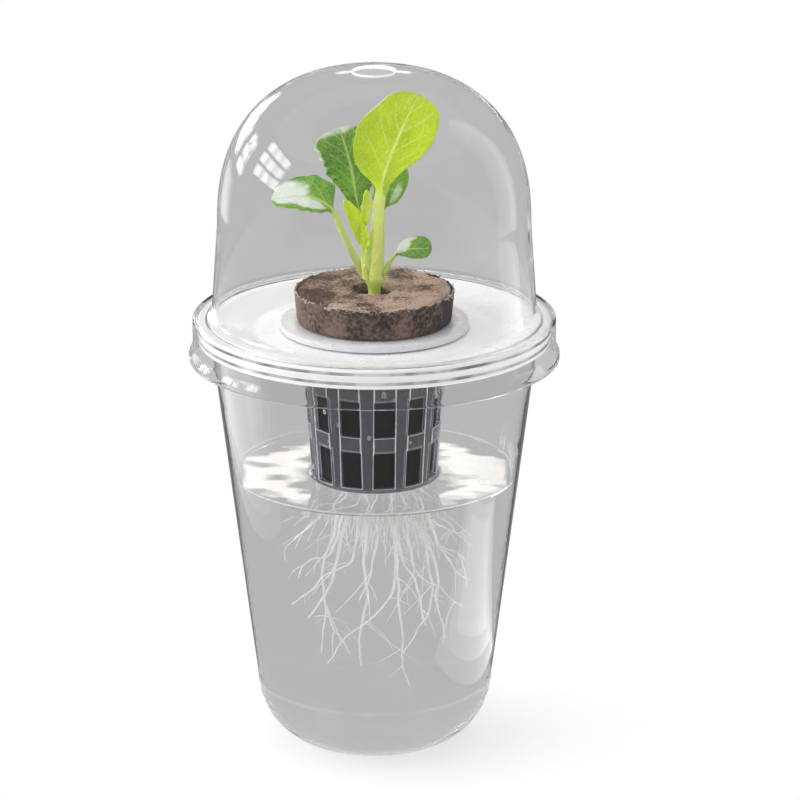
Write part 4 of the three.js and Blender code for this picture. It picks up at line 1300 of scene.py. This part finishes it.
def blade_width(widths, blade):
    """Half width of a blade at a share of its length, smooth through the given steps and round at the tip."""
    last = len(widths) - 1
    index = min(int(blade * last), last - 1)
    around = [widths[min(max(index + step, 0), last)] for step in (-1, 0, 1, 2)]
    near_tip = max(0.0, (blade - (1 - TIP)) / TIP)
    return eased(*around, blade * last - index) * MM * math.sqrt(max(0.0, 1 - near_tip ** 2))


def painted_sheen_at(spots, blade, across):
    """How much painted sheen lies at a place on a leaf."""
    most = 0.0
    for along, aside, reach_along, reach_across, strength in spots:
        away = math.hypot((blade - along) / reach_along, (across - aside) / reach_across)
        most = max(most, strength * max(0.0, 1 - away ** 3))
    return min(1.0, most)


def leaf_shape(leaf, thickness):
    """A leaf with its stalk as one closed skin round the leaf's line, mapped by length and width."""
    line = smooth_line([Vector(point) * MM for point in leaf["line"]], LEAF_STEPS + 1)
    base = Vector((0.0, 0.0, STEM.z))
    facing = Vector(leaf["facing"]).normalized()
    stalk_end = leaf["stalk"]
    ruffle, waves = leaf["ruffle"]
    shape = bmesh.new()
    chart = shape.loops.layers.uv.new("leaf")
    # The share of painted sheen at each point, which the leaf's skin reads
    painted_light = shape.verts.layers.float.new("painted_sheen")
    bmesh.ops.create_grid(shape, x_segments=LEAF_STEPS, y_segments=LEAF_ROUND, size=0.5)
    for face in shape.faces:
        for corner in face.loops:
            along = corner.vert.co.x + 0.5
            across = math.cos((corner.vert.co.y + 0.5) * math.tau)
            corner[chart].uv = (max(0.0, (along - stalk_end) / (1 - stalk_end)), 0.5 + 0.5 * across)
    for spot in shape.verts:
        step = round((spot.co.x + 0.5) * LEAF_STEPS)
        along = step / LEAF_STEPS
        turn = (spot.co.y + 0.5) * math.tau
        across, up = math.cos(turn), math.sin(turn)
        forward = (line[min(step + 1, LEAF_STEPS)] - line[max(step - 1, 0)]).normalized()
        side = facing.cross(forward).normalized()
        face = forward.cross(side)
        blade = min(1.0, max(0.0, (along - stalk_end) / (1 - stalk_end)))
        stalk = leaf["stalk_width"] * MM * (1 - STALK_THINS * along)
        spread = blade_width(leaf["widths"][0 if across > 0 else 1], blade)
        uneven = noise.noise((CRINKLES * blade, math.copysign(SIDE_NOISE, across), 0.3))
        spread *= 1 + leaf.get("crinkle", 0.0) * uneven
        width = max(spread * min(1.0, 6 * blade), stalk * (1 - 0.9 * blade) * (1 - blade ** 8))
        offset = across * width
        ridge = stalk * (1 - blade) ** 0.6 * math.exp(-((offset / (0.9 * stalk)) ** 2))
        skin = thickness / 2 * abs(up) ** 0.5
        flat = max(skin, ridge * (0.5 if up > 0 else 0.9))
        rise = flat + (stalk * 0.9 * abs(up) - flat) * max(0.0, 1 - blade / BLADE_FLAT)
        edge = across * across
        bend = leaf["curl"] * width * edge * min(1.0, 5 * blade)
        phase = 0.0 if across > 0 else SIDE_PHASE
        wave = math.sin(math.tau * waves * blade + phase) * math.sin(math.pi * blade)
        bend += ruffle * MM * wave * abs(across) ** 3
        spot.co = base + line[step] + side * offset + face * (math.copysign(rise, up) * (up != 0) + bend)
        spot[painted_light] = painted_sheen_at(leaf["painted_sheen"], blade, across) if blade > 0 else 0.0
    bmesh.ops.remove_doubles(shape, verts=shape.verts, dist=WELD)
    bmesh.ops.holes_fill(shape, edges=[edge for edge in shape.edges if edge.is_boundary], sides=0)
    bmesh.ops.recalc_face_normals(shape, faces=shape.faces)
    return shape


def build_leaves(size, colours):
    """Makes the six leaves, in three skins."""
    bright = (colours.bright_leaf, colours.bright_shade, colours.bright_vein, colours.painted_sheen)
    young = (colours.young_leaf, colours.young_shade, colours.bright_vein, colours.painted_sheen)
    dark = (colours.dark_leaf, colours.dark_shade, colours.dark_vein, colours.painted_sheen)
    skins = {
        "bright_leaf": leaf_skin("bright_leaf_skin", *bright, {"Pairs": 5.0, "Slant": 0.4, "Rib": 0.13},
                                 sheen=0.25, pucker=1.0),
        # The young skin is a brighter copy of the bright one: partly its own colour, partly painted light
        # against its shade
        "young_leaf": leaf_skin("young_leaf_skin", *young, {"Pairs": 4.0, "Slant": 0.4, "Rib": 0.13},
                                sheen=0.3, pucker=4.0),
        "dark_leaf": leaf_skin("dark_leaf_skin", *dark, {"Pairs": 6.0, "Slant": 0.4, "Rib": 0.15},
                               sheen=0.4, pucker=3.0),
    }
    for node, leaf in LEAVES.items():
        shape = leaf_shape(leaf, size.leaf_thickness)
        for leaflet in leaf.get("leaflets", ()):
            join(shape, leaf_shape(leaflet, size.leaf_thickness))
        new_piece(leaf["name"], shape, node, "basket", leaf["slot"], skins[leaf.get("skin", leaf["slot"])])


# The roots

# How many branches each main root has, how many hairs there are, and the points along each kind
ROOT_SEED = 5
BRANCHES = 3
HAIRS = 150
MAIN_POINTS = 34
BRANCH_POINTS = 10
HAIR_POINTS = 9

# How far from the axis the main roots and the thinner ones may reach
MAIN_ROOM = 21.6 * MM
FINE_ROOM = 20.6 * MM

# Radii at the start and at the end of each kind of root
MAIN_RADII = (0.42 * MM, 0.17 * MM)
BRANCH_RADII = (0.16 * MM, 0.06 * MM)
TWIG_RADII = (0.08 * MM, 0.05 * MM)
HAIR_RADII = (0.13 * MM, 0.06 * MM)

# The mat under the net pot: radius, and heights below the top of the roots
MAT_RADIUS = 12.6 * MM
MAT_MIDDLE = 1.8 * MM
MAT_FOOT = 1.6 * MM
MAT_TOP = 0.1 * MM

# Lines of the main roots, in millimetres, from the mat under the net pot outwards and down
MAIN_ROOTS = [
    [(-6, -6, 76), (-8, -8, 66), (-9.9, -8.5, 59.5), (-13.9, -9, 58.6), (-16.1, -9, 56.3),
     (-17.4, -8.6, 52.3)],
    [(-3, -7, 76), (-4.5, -9, 60), (-8, -9.5, 55.7), (-11.1, -9, 53.7), (-14.1, -8, 48.8), (-18.6, -6, 44)],
    [(-7, -3, 76), (-8.9, -5, 64.9), (-10.7, -6, 57.4), (-11.4, -6.4, 52.3), (-10.7, -7, 44.3),
     (-11.1, -7, 36.2), (-12, -6.6, 30.2)],
    [(-10.7, -7, 44.3), (-8.9, -7.4, 38.2), (-5.3, -7, 30.5)],
    [(3, -3, 76), (4.3, -4.6, 61.5), (3.9, -5.6, 48.8), (0.5, -6, 42), (-6.4, -6.4, 34.8), (-10.3, -7, 27.4)],
    [(4, -2, 76), (4.7, -3, 53.1), (5.1, -4, 42.5), (5.9, -4.6, 31.9), (6.1, -5, 25.6), (7.6, -5.2, 19.6)],
    [(9, -5, 76), (11.6, -7, 58), (12.4, -7.6, 44.8), (8.9, -8, 36.2), (6.4, -8, 30.5)],
    [(8, -2, 76), (10.5, -4, 65.5), (13.6, -5, 52.3), (13.2, -5.4, 45.7), (14.7, -5.6, 37.4),
     (15.3, -5, 33.8)],
    [(9, -6, 76), (12, -8, 64), (15.1, -9, 61.7), (18.4, -9, 60), (20.4, -8, 57.2)],
    [(10, -4, 76.4), (14, -6, 70.4), (16.8, -7, 67.4), (18.4, -7.4, 65.2), (20.6, -7, 66.2)],
    [(6, -6, 76), (8.9, -8, 55.4), (14.3, -8.4, 50), (17.6, -8, 45.4), (20.4, -7, 43.1)],
    [(9, 1, 76), (12.4, 2, 62), (15.4, 3, 53.1), (18.6, 4, 48.4)],
    [(0, -7, 76), (0.9, -9, 66), (-1.1, -10, 54.3), (-3.4, -10, 46.8)],
    [(-4, 4, 76), (-6.4, 7, 62), (-8, 9, 48), (-12, 11, 36)],
    [(3, 6, 76), (4, 9, 60), (7.4, 11, 47), (9, 13, 34)],
    [(-1, 2, 76), (-2, 3, 58), (-1.4, 4, 44), (-3, 4.4, 33), (-2.6, 5, 24)],
    [(-8, 5, 76), (-11, 8, 66), (-14.6, 10, 60)],
    [(7, 5, 76), (11, 8, 66), (14, 11, 62)],
]


def side_root(line, draw, reach):
    """A thinner root that leaves a line somewhere along it and wanders outwards and down."""
    start = draw.randrange(len(line) // 6, len(line) - 3)
    heading = draw.uniform(0.0, math.tau)
    out = Vector((math.cos(heading), math.sin(heading), draw.uniform(-1.6, 0.1)))
    bow = Vector((draw.uniform(-0.4, 0.4), draw.uniform(-0.4, 0.4), -draw.uniform(0.1, 0.7)))
    points = [line[start] + reach * (out * share + bow * share * share) for share in (0.0, 0.3, 0.65, 1.0)]
    return smooth_line(points, BRANCH_POINTS)


def kept_in(line, limit):
    """Draws a root's points in so that they stay within a radius."""
    drawn = []
    for point in line:
        flat = point.xy.length
        drawn.append(Vector((*(point.xy * min(1.0, limit / max(flat, WELD))), point.z)))
    return drawn


def root_strands(draw):
    """Lines and radii of all roots: the main ones, their branches, and the hairs under the net pot."""
    strands = []
    for points in MAIN_ROOTS:
        line = smooth_line([Vector(point) * MM for point in points], MAIN_POINTS)
        for index, point in enumerate(line):
            sway = noise.noise_vector(point / (5 * MM)) * 0.5 * MM
            line[index] = point + sway * min(1.0, index / 8)
        strands.append((kept_in(line, MAIN_ROOM), MAIN_RADII))
        for _ in range(BRANCHES):
            branch = side_root(line, draw, draw.uniform(3.0, 9.0) * MM)
            strands.append((kept_in(branch, FINE_ROOM), BRANCH_RADII))
            twig = side_root(branch, draw, draw.uniform(2.0, 4.0) * MM)
            strands.append((kept_in(twig, FINE_ROOM), TWIG_RADII))
    for _ in range(HAIRS):
        turn = draw.uniform(0.0, math.tau)
        near = Vector((math.cos(turn), math.sin(turn), 0.0)) * draw.uniform(1.0, 11.0) * MM
        drop = draw.uniform(5.0, 20.0) * MM
        lean = Vector((draw.uniform(-0.3, 0.3), draw.uniform(-0.3, 0.3), -1.0))
        top = near + Vector((0.0, 0.0, ROOTS.z))
        middle = top + lean * drop * 0.4 + near * 0.1
        end = top + lean * drop + near * draw.uniform(0.0, 0.5)
        hair = smooth_line([top, middle, end], HAIR_POINTS)
        strands.append((kept_in(hair, FINE_ROOM), HAIR_RADII))
    return strands


def root_mat():
    """The mat in which the roots come together under the net pot."""
    corners = [
        (0.0, ROOTS.z - MAT_MIDDLE),
        (MAT_RADIUS, ROOTS.z - MAT_FOOT, 0.7 * MM),
        (MAT_RADIUS, ROOTS.z - MAT_TOP, 0.5 * MM),
        (0.0, ROOTS.z - MAT_TOP),
    ]
    shape = turned(divided(rounded(corners), 0.8 * MM), MAT_TURN_STEPS)
    roughened(shape, 0.5 * MM, 1.4 * MM)
    return shape


def build_roots(colours):
    """Makes the roots: tubes along all strands, and the mat."""
    tubes = bpy.data.curves.new("white_roots", "CURVE")
    tubes.dimensions = "3D"
    tubes.bevel_depth = 1.0
    tubes.bevel_resolution = 1
    tubes.use_fill_caps = True
    # Without a seed, noise vectors differ from one start of the program to the next
    noise.seed_set(ROOT_SEED)
    for line, (thick, thin) in root_strands(random.Random(ROOT_SEED)):
        spline = tubes.splines.new("POLY")
        spline.points.add(len(line) - 1)
        for index, point in enumerate(line):
            spline.points[index].co = (*point, 1.0)
            spline.points[index].radius = thick + (thin - thick) * index / (len(line) - 1)
    holder = bpy.data.objects.new("white_roots", tubes)
    mesh = bpy.data.meshes.new_from_object(holder)
    shape = bmesh.new()
    shape.from_mesh(mesh)
    join(shape, root_mat())
    bpy.data.objects.remove(holder)
    bpy.data.curves.remove(tubes)
    bpy.data.meshes.remove(mesh)
    new_piece("white_roots", shape, "root_cluster", "basket", "root", pale_root(colours))


# The dome

# The cap's outline is a power curve, more square than a circle, in this many steps
SQUARENESS = 2.4
CAP_STEPS = 40

# Height of the plain edge at the skirt's foot
FOOT_EDGE = 1.4 * MM


def dome_cap(size, inset):
    """The dome's rounded top from the spring line in to the vent, taken in from the outside by inset."""
    shoulder = DOME_FOOT.z + size.dome_skirt
    spring = DOME.x - size.dome_flare - size.dome_shoulder - size.dome_draft - inset
    closing = (1 - (size.dome_vent / (spring + inset)) ** SQUARENESS) ** (1 / SQUARENESS)
    rise = (DOME.z - shoulder - size.dome_spring) / closing - inset
    points = []
    end = math.acos((size.dome_vent / spring) ** (SQUARENESS / 2))
    for step in range(CAP_STEPS + 1):
        angle = end * step / CAP_STEPS
        radius = spring * math.cos(angle) ** (2 / SQUARENESS)
        points.append((radius, shoulder + size.dome_spring + rise * math.sin(angle) ** (2 / SQUARENESS)))
    return points


def build_dome(size, colours):
    """Makes the dome, with a frosted edge round its vent, which has a painted glow."""
    foot = DOME_FOOT.z
    wall = size.dome_wall
    shoulder = foot + size.dome_skirt
    skirt = DOME.x - size.dome_flare
    neck = skirt - size.dome_shoulder
    flare = foot + size.dome_flare_height
    outside = [
        (DOME.x, foot, 0.4 * MM),
        (DOME.x, foot + FOOT_EDGE, 1.0 * MM),
        (skirt, flare, 2.0 * MM),
        (skirt, shoulder + wall, 0.9 * MM),
        (neck, shoulder + wall, 2.0 * MM),
        *dome_cap(size, 0.0),
    ]
    inside = [
        (DOME.x - 1.2 * wall, foot, 0.4 * MM),
        (DOME.x - wall, foot + FOOT_EDGE, 1.0 * MM),
        (skirt - wall, flare, 2.0 * MM),
        (skirt - wall, shoulder, 0.4 * MM),
        (neck - wall, shoulder, 3.0 * MM),
        *dome_cap(size, wall),
    ]
    shape = turned(rounded([*outside, *inside[::-1]], closed=True))
    paint(shape, 1, lambda middle: middle.xy.length < size.dome_vent + 0.02 * MM)
    finish = clear_plastic("clear_dome_plastic", colours, DOME_BEND)
    new_piece("clear_dome", shape, "dome_cover", "dome", "clear_plastic", finish, cut_edge_glow(colours))


# The stage: camera, floor, lamps and white surround

CAMERA_HEIGHT = 0.095
CAMERA_DISTANCE = 1.4
CAMERA_TILT = math.radians(17.5)
CAMERA_AIM = (7.06 * MM, 3.46 * MM)
CAMERA_LENS = 227.7
CAMERA_SENSOR = 36.0

# How bright the white surround is where it is seen through clear plastic, and as a light
ROOM_GREY = 0.62
ROOM_FILL = 0.45

# The floor: half its size, where it turns from lit to plain white, and where and how it dims in reflections
FLOOR_HALF = 3.0
FLOOR_WHITE = (0.025, 0.1)
FLOOR_DIMS = (0.04, 0.08, 0.9, 0.4)

# How often light may bounce, so that it gets through all the clear walls
BOUNCES = 24


def aimed(thing, place, target):
    """Puts a camera or lamp at a place, looking at a target."""
    thing.location = place
    thing.rotation_euler = (Vector(target) - Vector(place)).to_track_quat("-Z", "Y").to_euler()
    bpy.context.scene.collection.objects.link(thing)


def build_camera():
    """Sets up the camera at the photograph's angle."""
    back = Vector((0.0, -math.cos(CAMERA_TILT), math.sin(CAMERA_TILT)))
    right = Vector((1.0, 0.0, 0.0))
    middle = Vector((0.0, 0.0, CAMERA_HEIGHT))
    lens = bpy.data.cameras.new("camera")
    lens.lens = CAMERA_LENS
    lens.sensor_width = CAMERA_SENSOR
    camera = bpy.data.objects.new("camera", lens)
    aim = middle + right * CAMERA_AIM[0] + back.cross(right) * CAMERA_AIM[1]
    aimed(camera, middle + back * CAMERA_DISTANCE, aim)
    bpy.context.scene.camera = camera


def build_floor():
    """Lays a pale floor that keeps the object's shadow and is white farther out."""
    shape = bmesh.new()
    bmesh.ops.create_grid(shape, x_segments=4, y_segments=4, size=FLOOR_HALF)
    mesh = bpy.data.meshes.new("floor")
    shape.to_mesh(mesh)
    shape.free()
    finish, tree, shader = new_finish("pale_floor", {
        "Roughness": 0.8, "Specular IOR Level": 0.1, "Base Color": (0.92, 0.92, 0.92, 1.0)})
    where = put(tree, "ShaderNodeVectorMath", {0: in_place(tree)}, operation="LENGTH").outputs["Value"]
    path = put(tree, "ShaderNodeLightPath").outputs
    far = sums(tree, "MULTIPLY", path["Is Camera Ray"], ranged(tree, where, *FLOOR_WHITE))
    share = sums(tree, "MAXIMUM", far, path["Is Transmission Ray"])
    pale = sums(tree, "MULTIPLY_ADD", path["Is Transmission Ray"], ROOM_GREY - 1.0, 1.0)
    white = put(tree, "ShaderNodeEmission", {"Strength": pale}).outputs[0]
    dim = put(tree, "ShaderNodeEmission", {"Strength": ranged(tree, where, *FLOOR_DIMS)}).outputs[0]
    mirrored = {0: path["Is Glossy Ray"], 1: shader.outputs[0], 2: dim}
    inner = put(tree, "ShaderNodeMixShader", mirrored).outputs[0]
    both = put(tree, "ShaderNodeMixShader", {0: share, 1: inner, 2: white}).outputs[0]
    tree.links.new(both, tree.nodes["Material Output"].inputs["Surface"])
    mesh.materials.append(finish)
    floor = bpy.data.objects.new("floor", mesh)
    bpy.context.scene.collection.objects.link(floor)


def build_surround():
    """Sets up the white surround, which gives a plain fill light."""
    world = bpy.data.worlds.new("surround")
    world.use_nodes = True
    tree = world.node_tree
    path = put(tree, "ShaderNodeLightPath").outputs
    through = sums(tree, "MULTIPLY_ADD", path["Is Transmission Ray"], ROOM_GREY - ROOM_FILL, ROOM_FILL)
    strength = sums(tree, "MULTIPLY_ADD", path["Is Camera Ray"], 1.0 - ROOM_FILL, through)
    light = put(tree, "ShaderNodeBackground", {"Color": WHITE, "Strength": strength}).outputs[0]
    tree.links.new(light, tree.nodes["World Output"].inputs["Surface"])
    bpy.context.scene.world = world


def soft_lamp(name, place, target, width, height, brightness, mirrored=True, seen_through=True, warmth=0.0):
    """A rectangular lamp whose face has this brightness, where 1 is white; it may stay out of reflections, or
    out of what is seen through a clear wall."""
    light = bpy.data.lights.new(name, "AREA")
    light.shape = "RECTANGLE"
    light.size = width
    light.size_y = height
    light.energy = brightness * math.pi * width * height
    light.color = (1.0, 1.0 - 0.4 * warmth, 1.0 - warmth)
    lamp = bpy.data.objects.new(name, light)
    aimed(lamp, place, target)
    lamp.visible_camera = False
    lamp.visible_glossy = mirrored
    lamp.visible_transmission = seen_through


def window_lamp(name, place, target, columns, rows, pane, gap, brightness):
    """A window of several panes, which shows as such in the clear plastic."""
    facing = (Vector(target) - Vector(place)).normalized()
    right = facing.cross(Vector((0.0, 0.0, 1.0))).normalized()
    up = right.cross(facing)
    for column in range(columns):
        for row in range(rows):
            aside = right * (column - (columns - 1) / 2) * (pane[0] + gap)
            above = up * (row - (rows - 1) / 2) * (pane[1] + gap)
            spot = Vector(place) + aside + above
            soft_lamp(f"{name}_{column}_{row}", spot, spot + facing, *pane, brightness)


def build_lamps():
    """Hangs the soft lamps that light the object, and the windows and cards that gleam in its clear walls."""
    middle = (0.0, 0.0, 0.13)
    unseen = {"mirrored": False, "seen_through": False}
    soft_lamp("overhead", (-0.1, 0.0, 1.25), middle, 0.9, 0.9, 2.45, **unseen)
    soft_lamp("left_key", (-0.8, -0.3, 0.62), middle, 0.6, 0.6, 2.5, **unseen)
    soft_lamp("front_fill", (0.25, -1.3, 0.45), middle, 0.8, 0.8, 1.95, **unseen)
    window_lamp("left_window", (-0.9, 0.06, 0.52), middle, 3, 3, (0.135, 0.1), 0.036, 11.0)
    window_lamp("middle_window", (-1.02, 0.8, 0.4), middle, 2, 3, (0.1, 0.11), 0.03, 9.0)
    window_lamp("back_window", (-0.68, 1.34, 0.33), middle, 4, 2, (0.12, 0.14), 0.02, 7.0)
    for step, brightness in enumerate((1.8, 1.2, 0.8)):
        turn = math.radians(60 + 8 * step)
        place = (0.6 * math.sin(turn), 0.6 * math.cos(turn), 0.43)
        soft_lamp(f"right_panel_{step}", place, (0.0, 0.0, 0.43), 0.084, 0.84, brightness)
    soft_lamp("left_low_card", (-0.38, 0.46, 0.07), (0.0, 0.0, 0.07), 0.18, 0.12, 1.4)
    # Cards in steps, so that their gleams have soft edges
    for step, share in enumerate((1.0, 0.8, 0.6)):
        near = step * MM
        soft_lamp(f"left_card_{step}", (-0.22, 0.09, 0.004 + near), (-0.22, 0.09, 1.0),
                  0.15 * share, 0.26 * share, 0.9, seen_through=False)
        soft_lamp(f"right_card_{step}", (0.1175, -0.004, 0.004 + near), (0.1175, -0.004, 1.0),
                  0.12 * share, 0.1 * share, 2.0, seen_through=False, warmth=0.06)
        for side in (-1, 1):
            soft_lamp(f"water_glint_{side}_{step}", (0.062 * side, 1.2 - near, 0.456), (0.0, 0.0, 0.078),
                      0.08 * share, 0.11 * share, 1.6, mirrored=False, warmth=0.14)


# Operators


class PLANTER_OT_stage(bpy.types.Operator):
    """Set up the camera, the pale floor, the lamps and the white surround"""

    bl_idname = "planter.stage"
    bl_label = "Stage"
    bl_options = {"REGISTER", "UNDO"}

    def execute(self, context):
        build_camera()
        build_floor()
        build_surround()
        build_lamps()
        return {"FINISHED"}


class PLANTER_OT_cup(bpy.types.Operator):
    """Turn the clear cup with its round heel and rolled rim"""

    bl_idname = "planter.cup"
    bl_label = "Reservoir cup"
    bl_options = {"REGISTER", "UNDO"}

    def execute(self, context):
        build_cup(context.scene.planter_vessels, context.scene.planter_colours)
        return {"FINISHED"}


class PLANTER_OT_water(bpy.types.Operator):
    """Fill the cup with water up to the net pot's foot"""

    bl_idname = "planter.water"
    bl_label = "Water"
    bl_options = {"REGISTER", "UNDO"}

    def execute(self, context):
        scene = context.scene
        build_water(scene.planter_vessels, scene.planter_plant, scene.planter_colours)
        return {"FINISHED"}


class PLANTER_OT_tray(bpy.types.Operator):
    """Turn the white planting tray that caps the cup"""

    bl_idname = "planter.tray"
    bl_label = "Planting tray"
    bl_options = {"REGISTER", "UNDO"}

    def execute(self, context):
        build_tray(context.scene.planter_vessels, context.scene.planter_colours)
        return {"FINISHED"}


class PLANTER_OT_net_pot(bpy.types.Operator):
    """Form the net pot with its two rows of windows"""

    bl_idname = "planter.net_pot"
    bl_label = "Net pot"
    bl_options = {"REGISTER", "UNDO"}

    def execute(self, context):
        build_net_pot(context.scene.planter_plant, context.scene.planter_colours)
        return {"FINISHED"}


class PLANTER_OT_plug(bpy.types.Operator):
    """Form the growing plug and the frayed net wrap round it"""

    bl_idname = "planter.plug"
    bl_label = "Plug and wrap"
    bl_options = {"REGISTER", "UNDO"}

    def execute(self, context):
        build_plug(context.scene.planter_plant, context.scene.planter_colours)
        build_wrap(context.scene.planter_plant, context.scene.planter_colours)
        return {"FINISHED"}


class PLANTER_OT_seedling(bpy.types.Operator):
    """Grow the stem and its six leaves"""

    bl_idname = "planter.seedling"
    bl_label = "Seedling"
    bl_options = {"REGISTER", "UNDO"}

    def execute(self, context):
        build_stem(context.scene.planter_colours)
        build_leaves(context.scene.planter_plant, context.scene.planter_colours)
        return {"FINISHED"}


class PLANTER_OT_roots(bpy.types.Operator):
    """Grow the roots that hang in the water"""

    bl_idname = "planter.roots"
    bl_label = "Roots"
    bl_options = {"REGISTER", "UNDO"}

    def execute(self, context):
        build_roots(context.scene.planter_colours)
        return {"FINISHED"}


class PLANTER_OT_dome(bpy.types.Operator):
    """Turn the clear dome with its skirt and vent hole"""

    bl_idname = "planter.dome"
    bl_label = "Dome"
    bl_options = {"REGISTER", "UNDO"}

    def execute(self, context):
        build_dome(context.scene.planter_vessels, context.scene.planter_colours)
        return {"FINISHED"}


OPERATORS = (
    PLANTER_OT_stage, PLANTER_OT_cup, PLANTER_OT_water, PLANTER_OT_tray, PLANTER_OT_net_pot, PLANTER_OT_plug,
    PLANTER_OT_seedling, PLANTER_OT_roots, PLANTER_OT_dome,
)


GROUPS = {
    "planter_vessels": PlanterVesselSizes,
    "planter_plant": PlanterPlantSizes,
    "planter_colours": PlanterColours,
}

class PLANTER_PT_pieces(bpy.types.Panel):
    """Lists the pieces of the pot, and their sizes and colours"""

    bl_idname = "PLANTER_PT_pieces"
    bl_label = "Nursery planter pot"
    bl_space_type = "VIEW_3D"
    bl_region_type = "UI"
    bl_category = "Planter"

    def draw(self, context):
        for operator in OPERATORS:
            self.layout.operator(operator.bl_idname)
        for label, group in GROUPS.items():
            column = self.layout.column()
            for name in group.__annotations__:
                column.prop(getattr(context.scene, label), name)


def register():
    """Registers the classes and gives the scene its sizes and colours."""
    for kind in (*GROUPS.values(), *OPERATORS, PLANTER_PT_pieces):
        bpy.utils.register_class(kind)
    for name, group in GROUPS.items():
        setattr(bpy.types.Scene, name, bpy.props.PointerProperty(type=group))


def unregister():
    """Takes back what register did."""
    for name in GROUPS:
        delattr(bpy.types.Scene, name)
    for kind in (PLANTER_PT_pieces, *reversed(OPERATORS), *reversed(GROUPS.values())):
        bpy.utils.unregister_class(kind)


def main():
    """Builds the stage and all pieces."""
    register()
    bpy.context.scene.view_settings.view_transform = "Standard"
    bpy.context.scene.cycles.max_bounces = BOUNCES
    bpy.context.scene.cycles.transmission_bounces = BOUNCES
    bpy.ops.planter.stage()
    bpy.ops.planter.cup()
    bpy.ops.planter.water()
    bpy.ops.planter.tray()
    bpy.ops.planter.net_pot()
    bpy.ops.planter.plug()
    bpy.ops.planter.seedling()
    bpy.ops.planter.roots()
    bpy.ops.planter.dome()


if __name__ == "__main__":
    main()
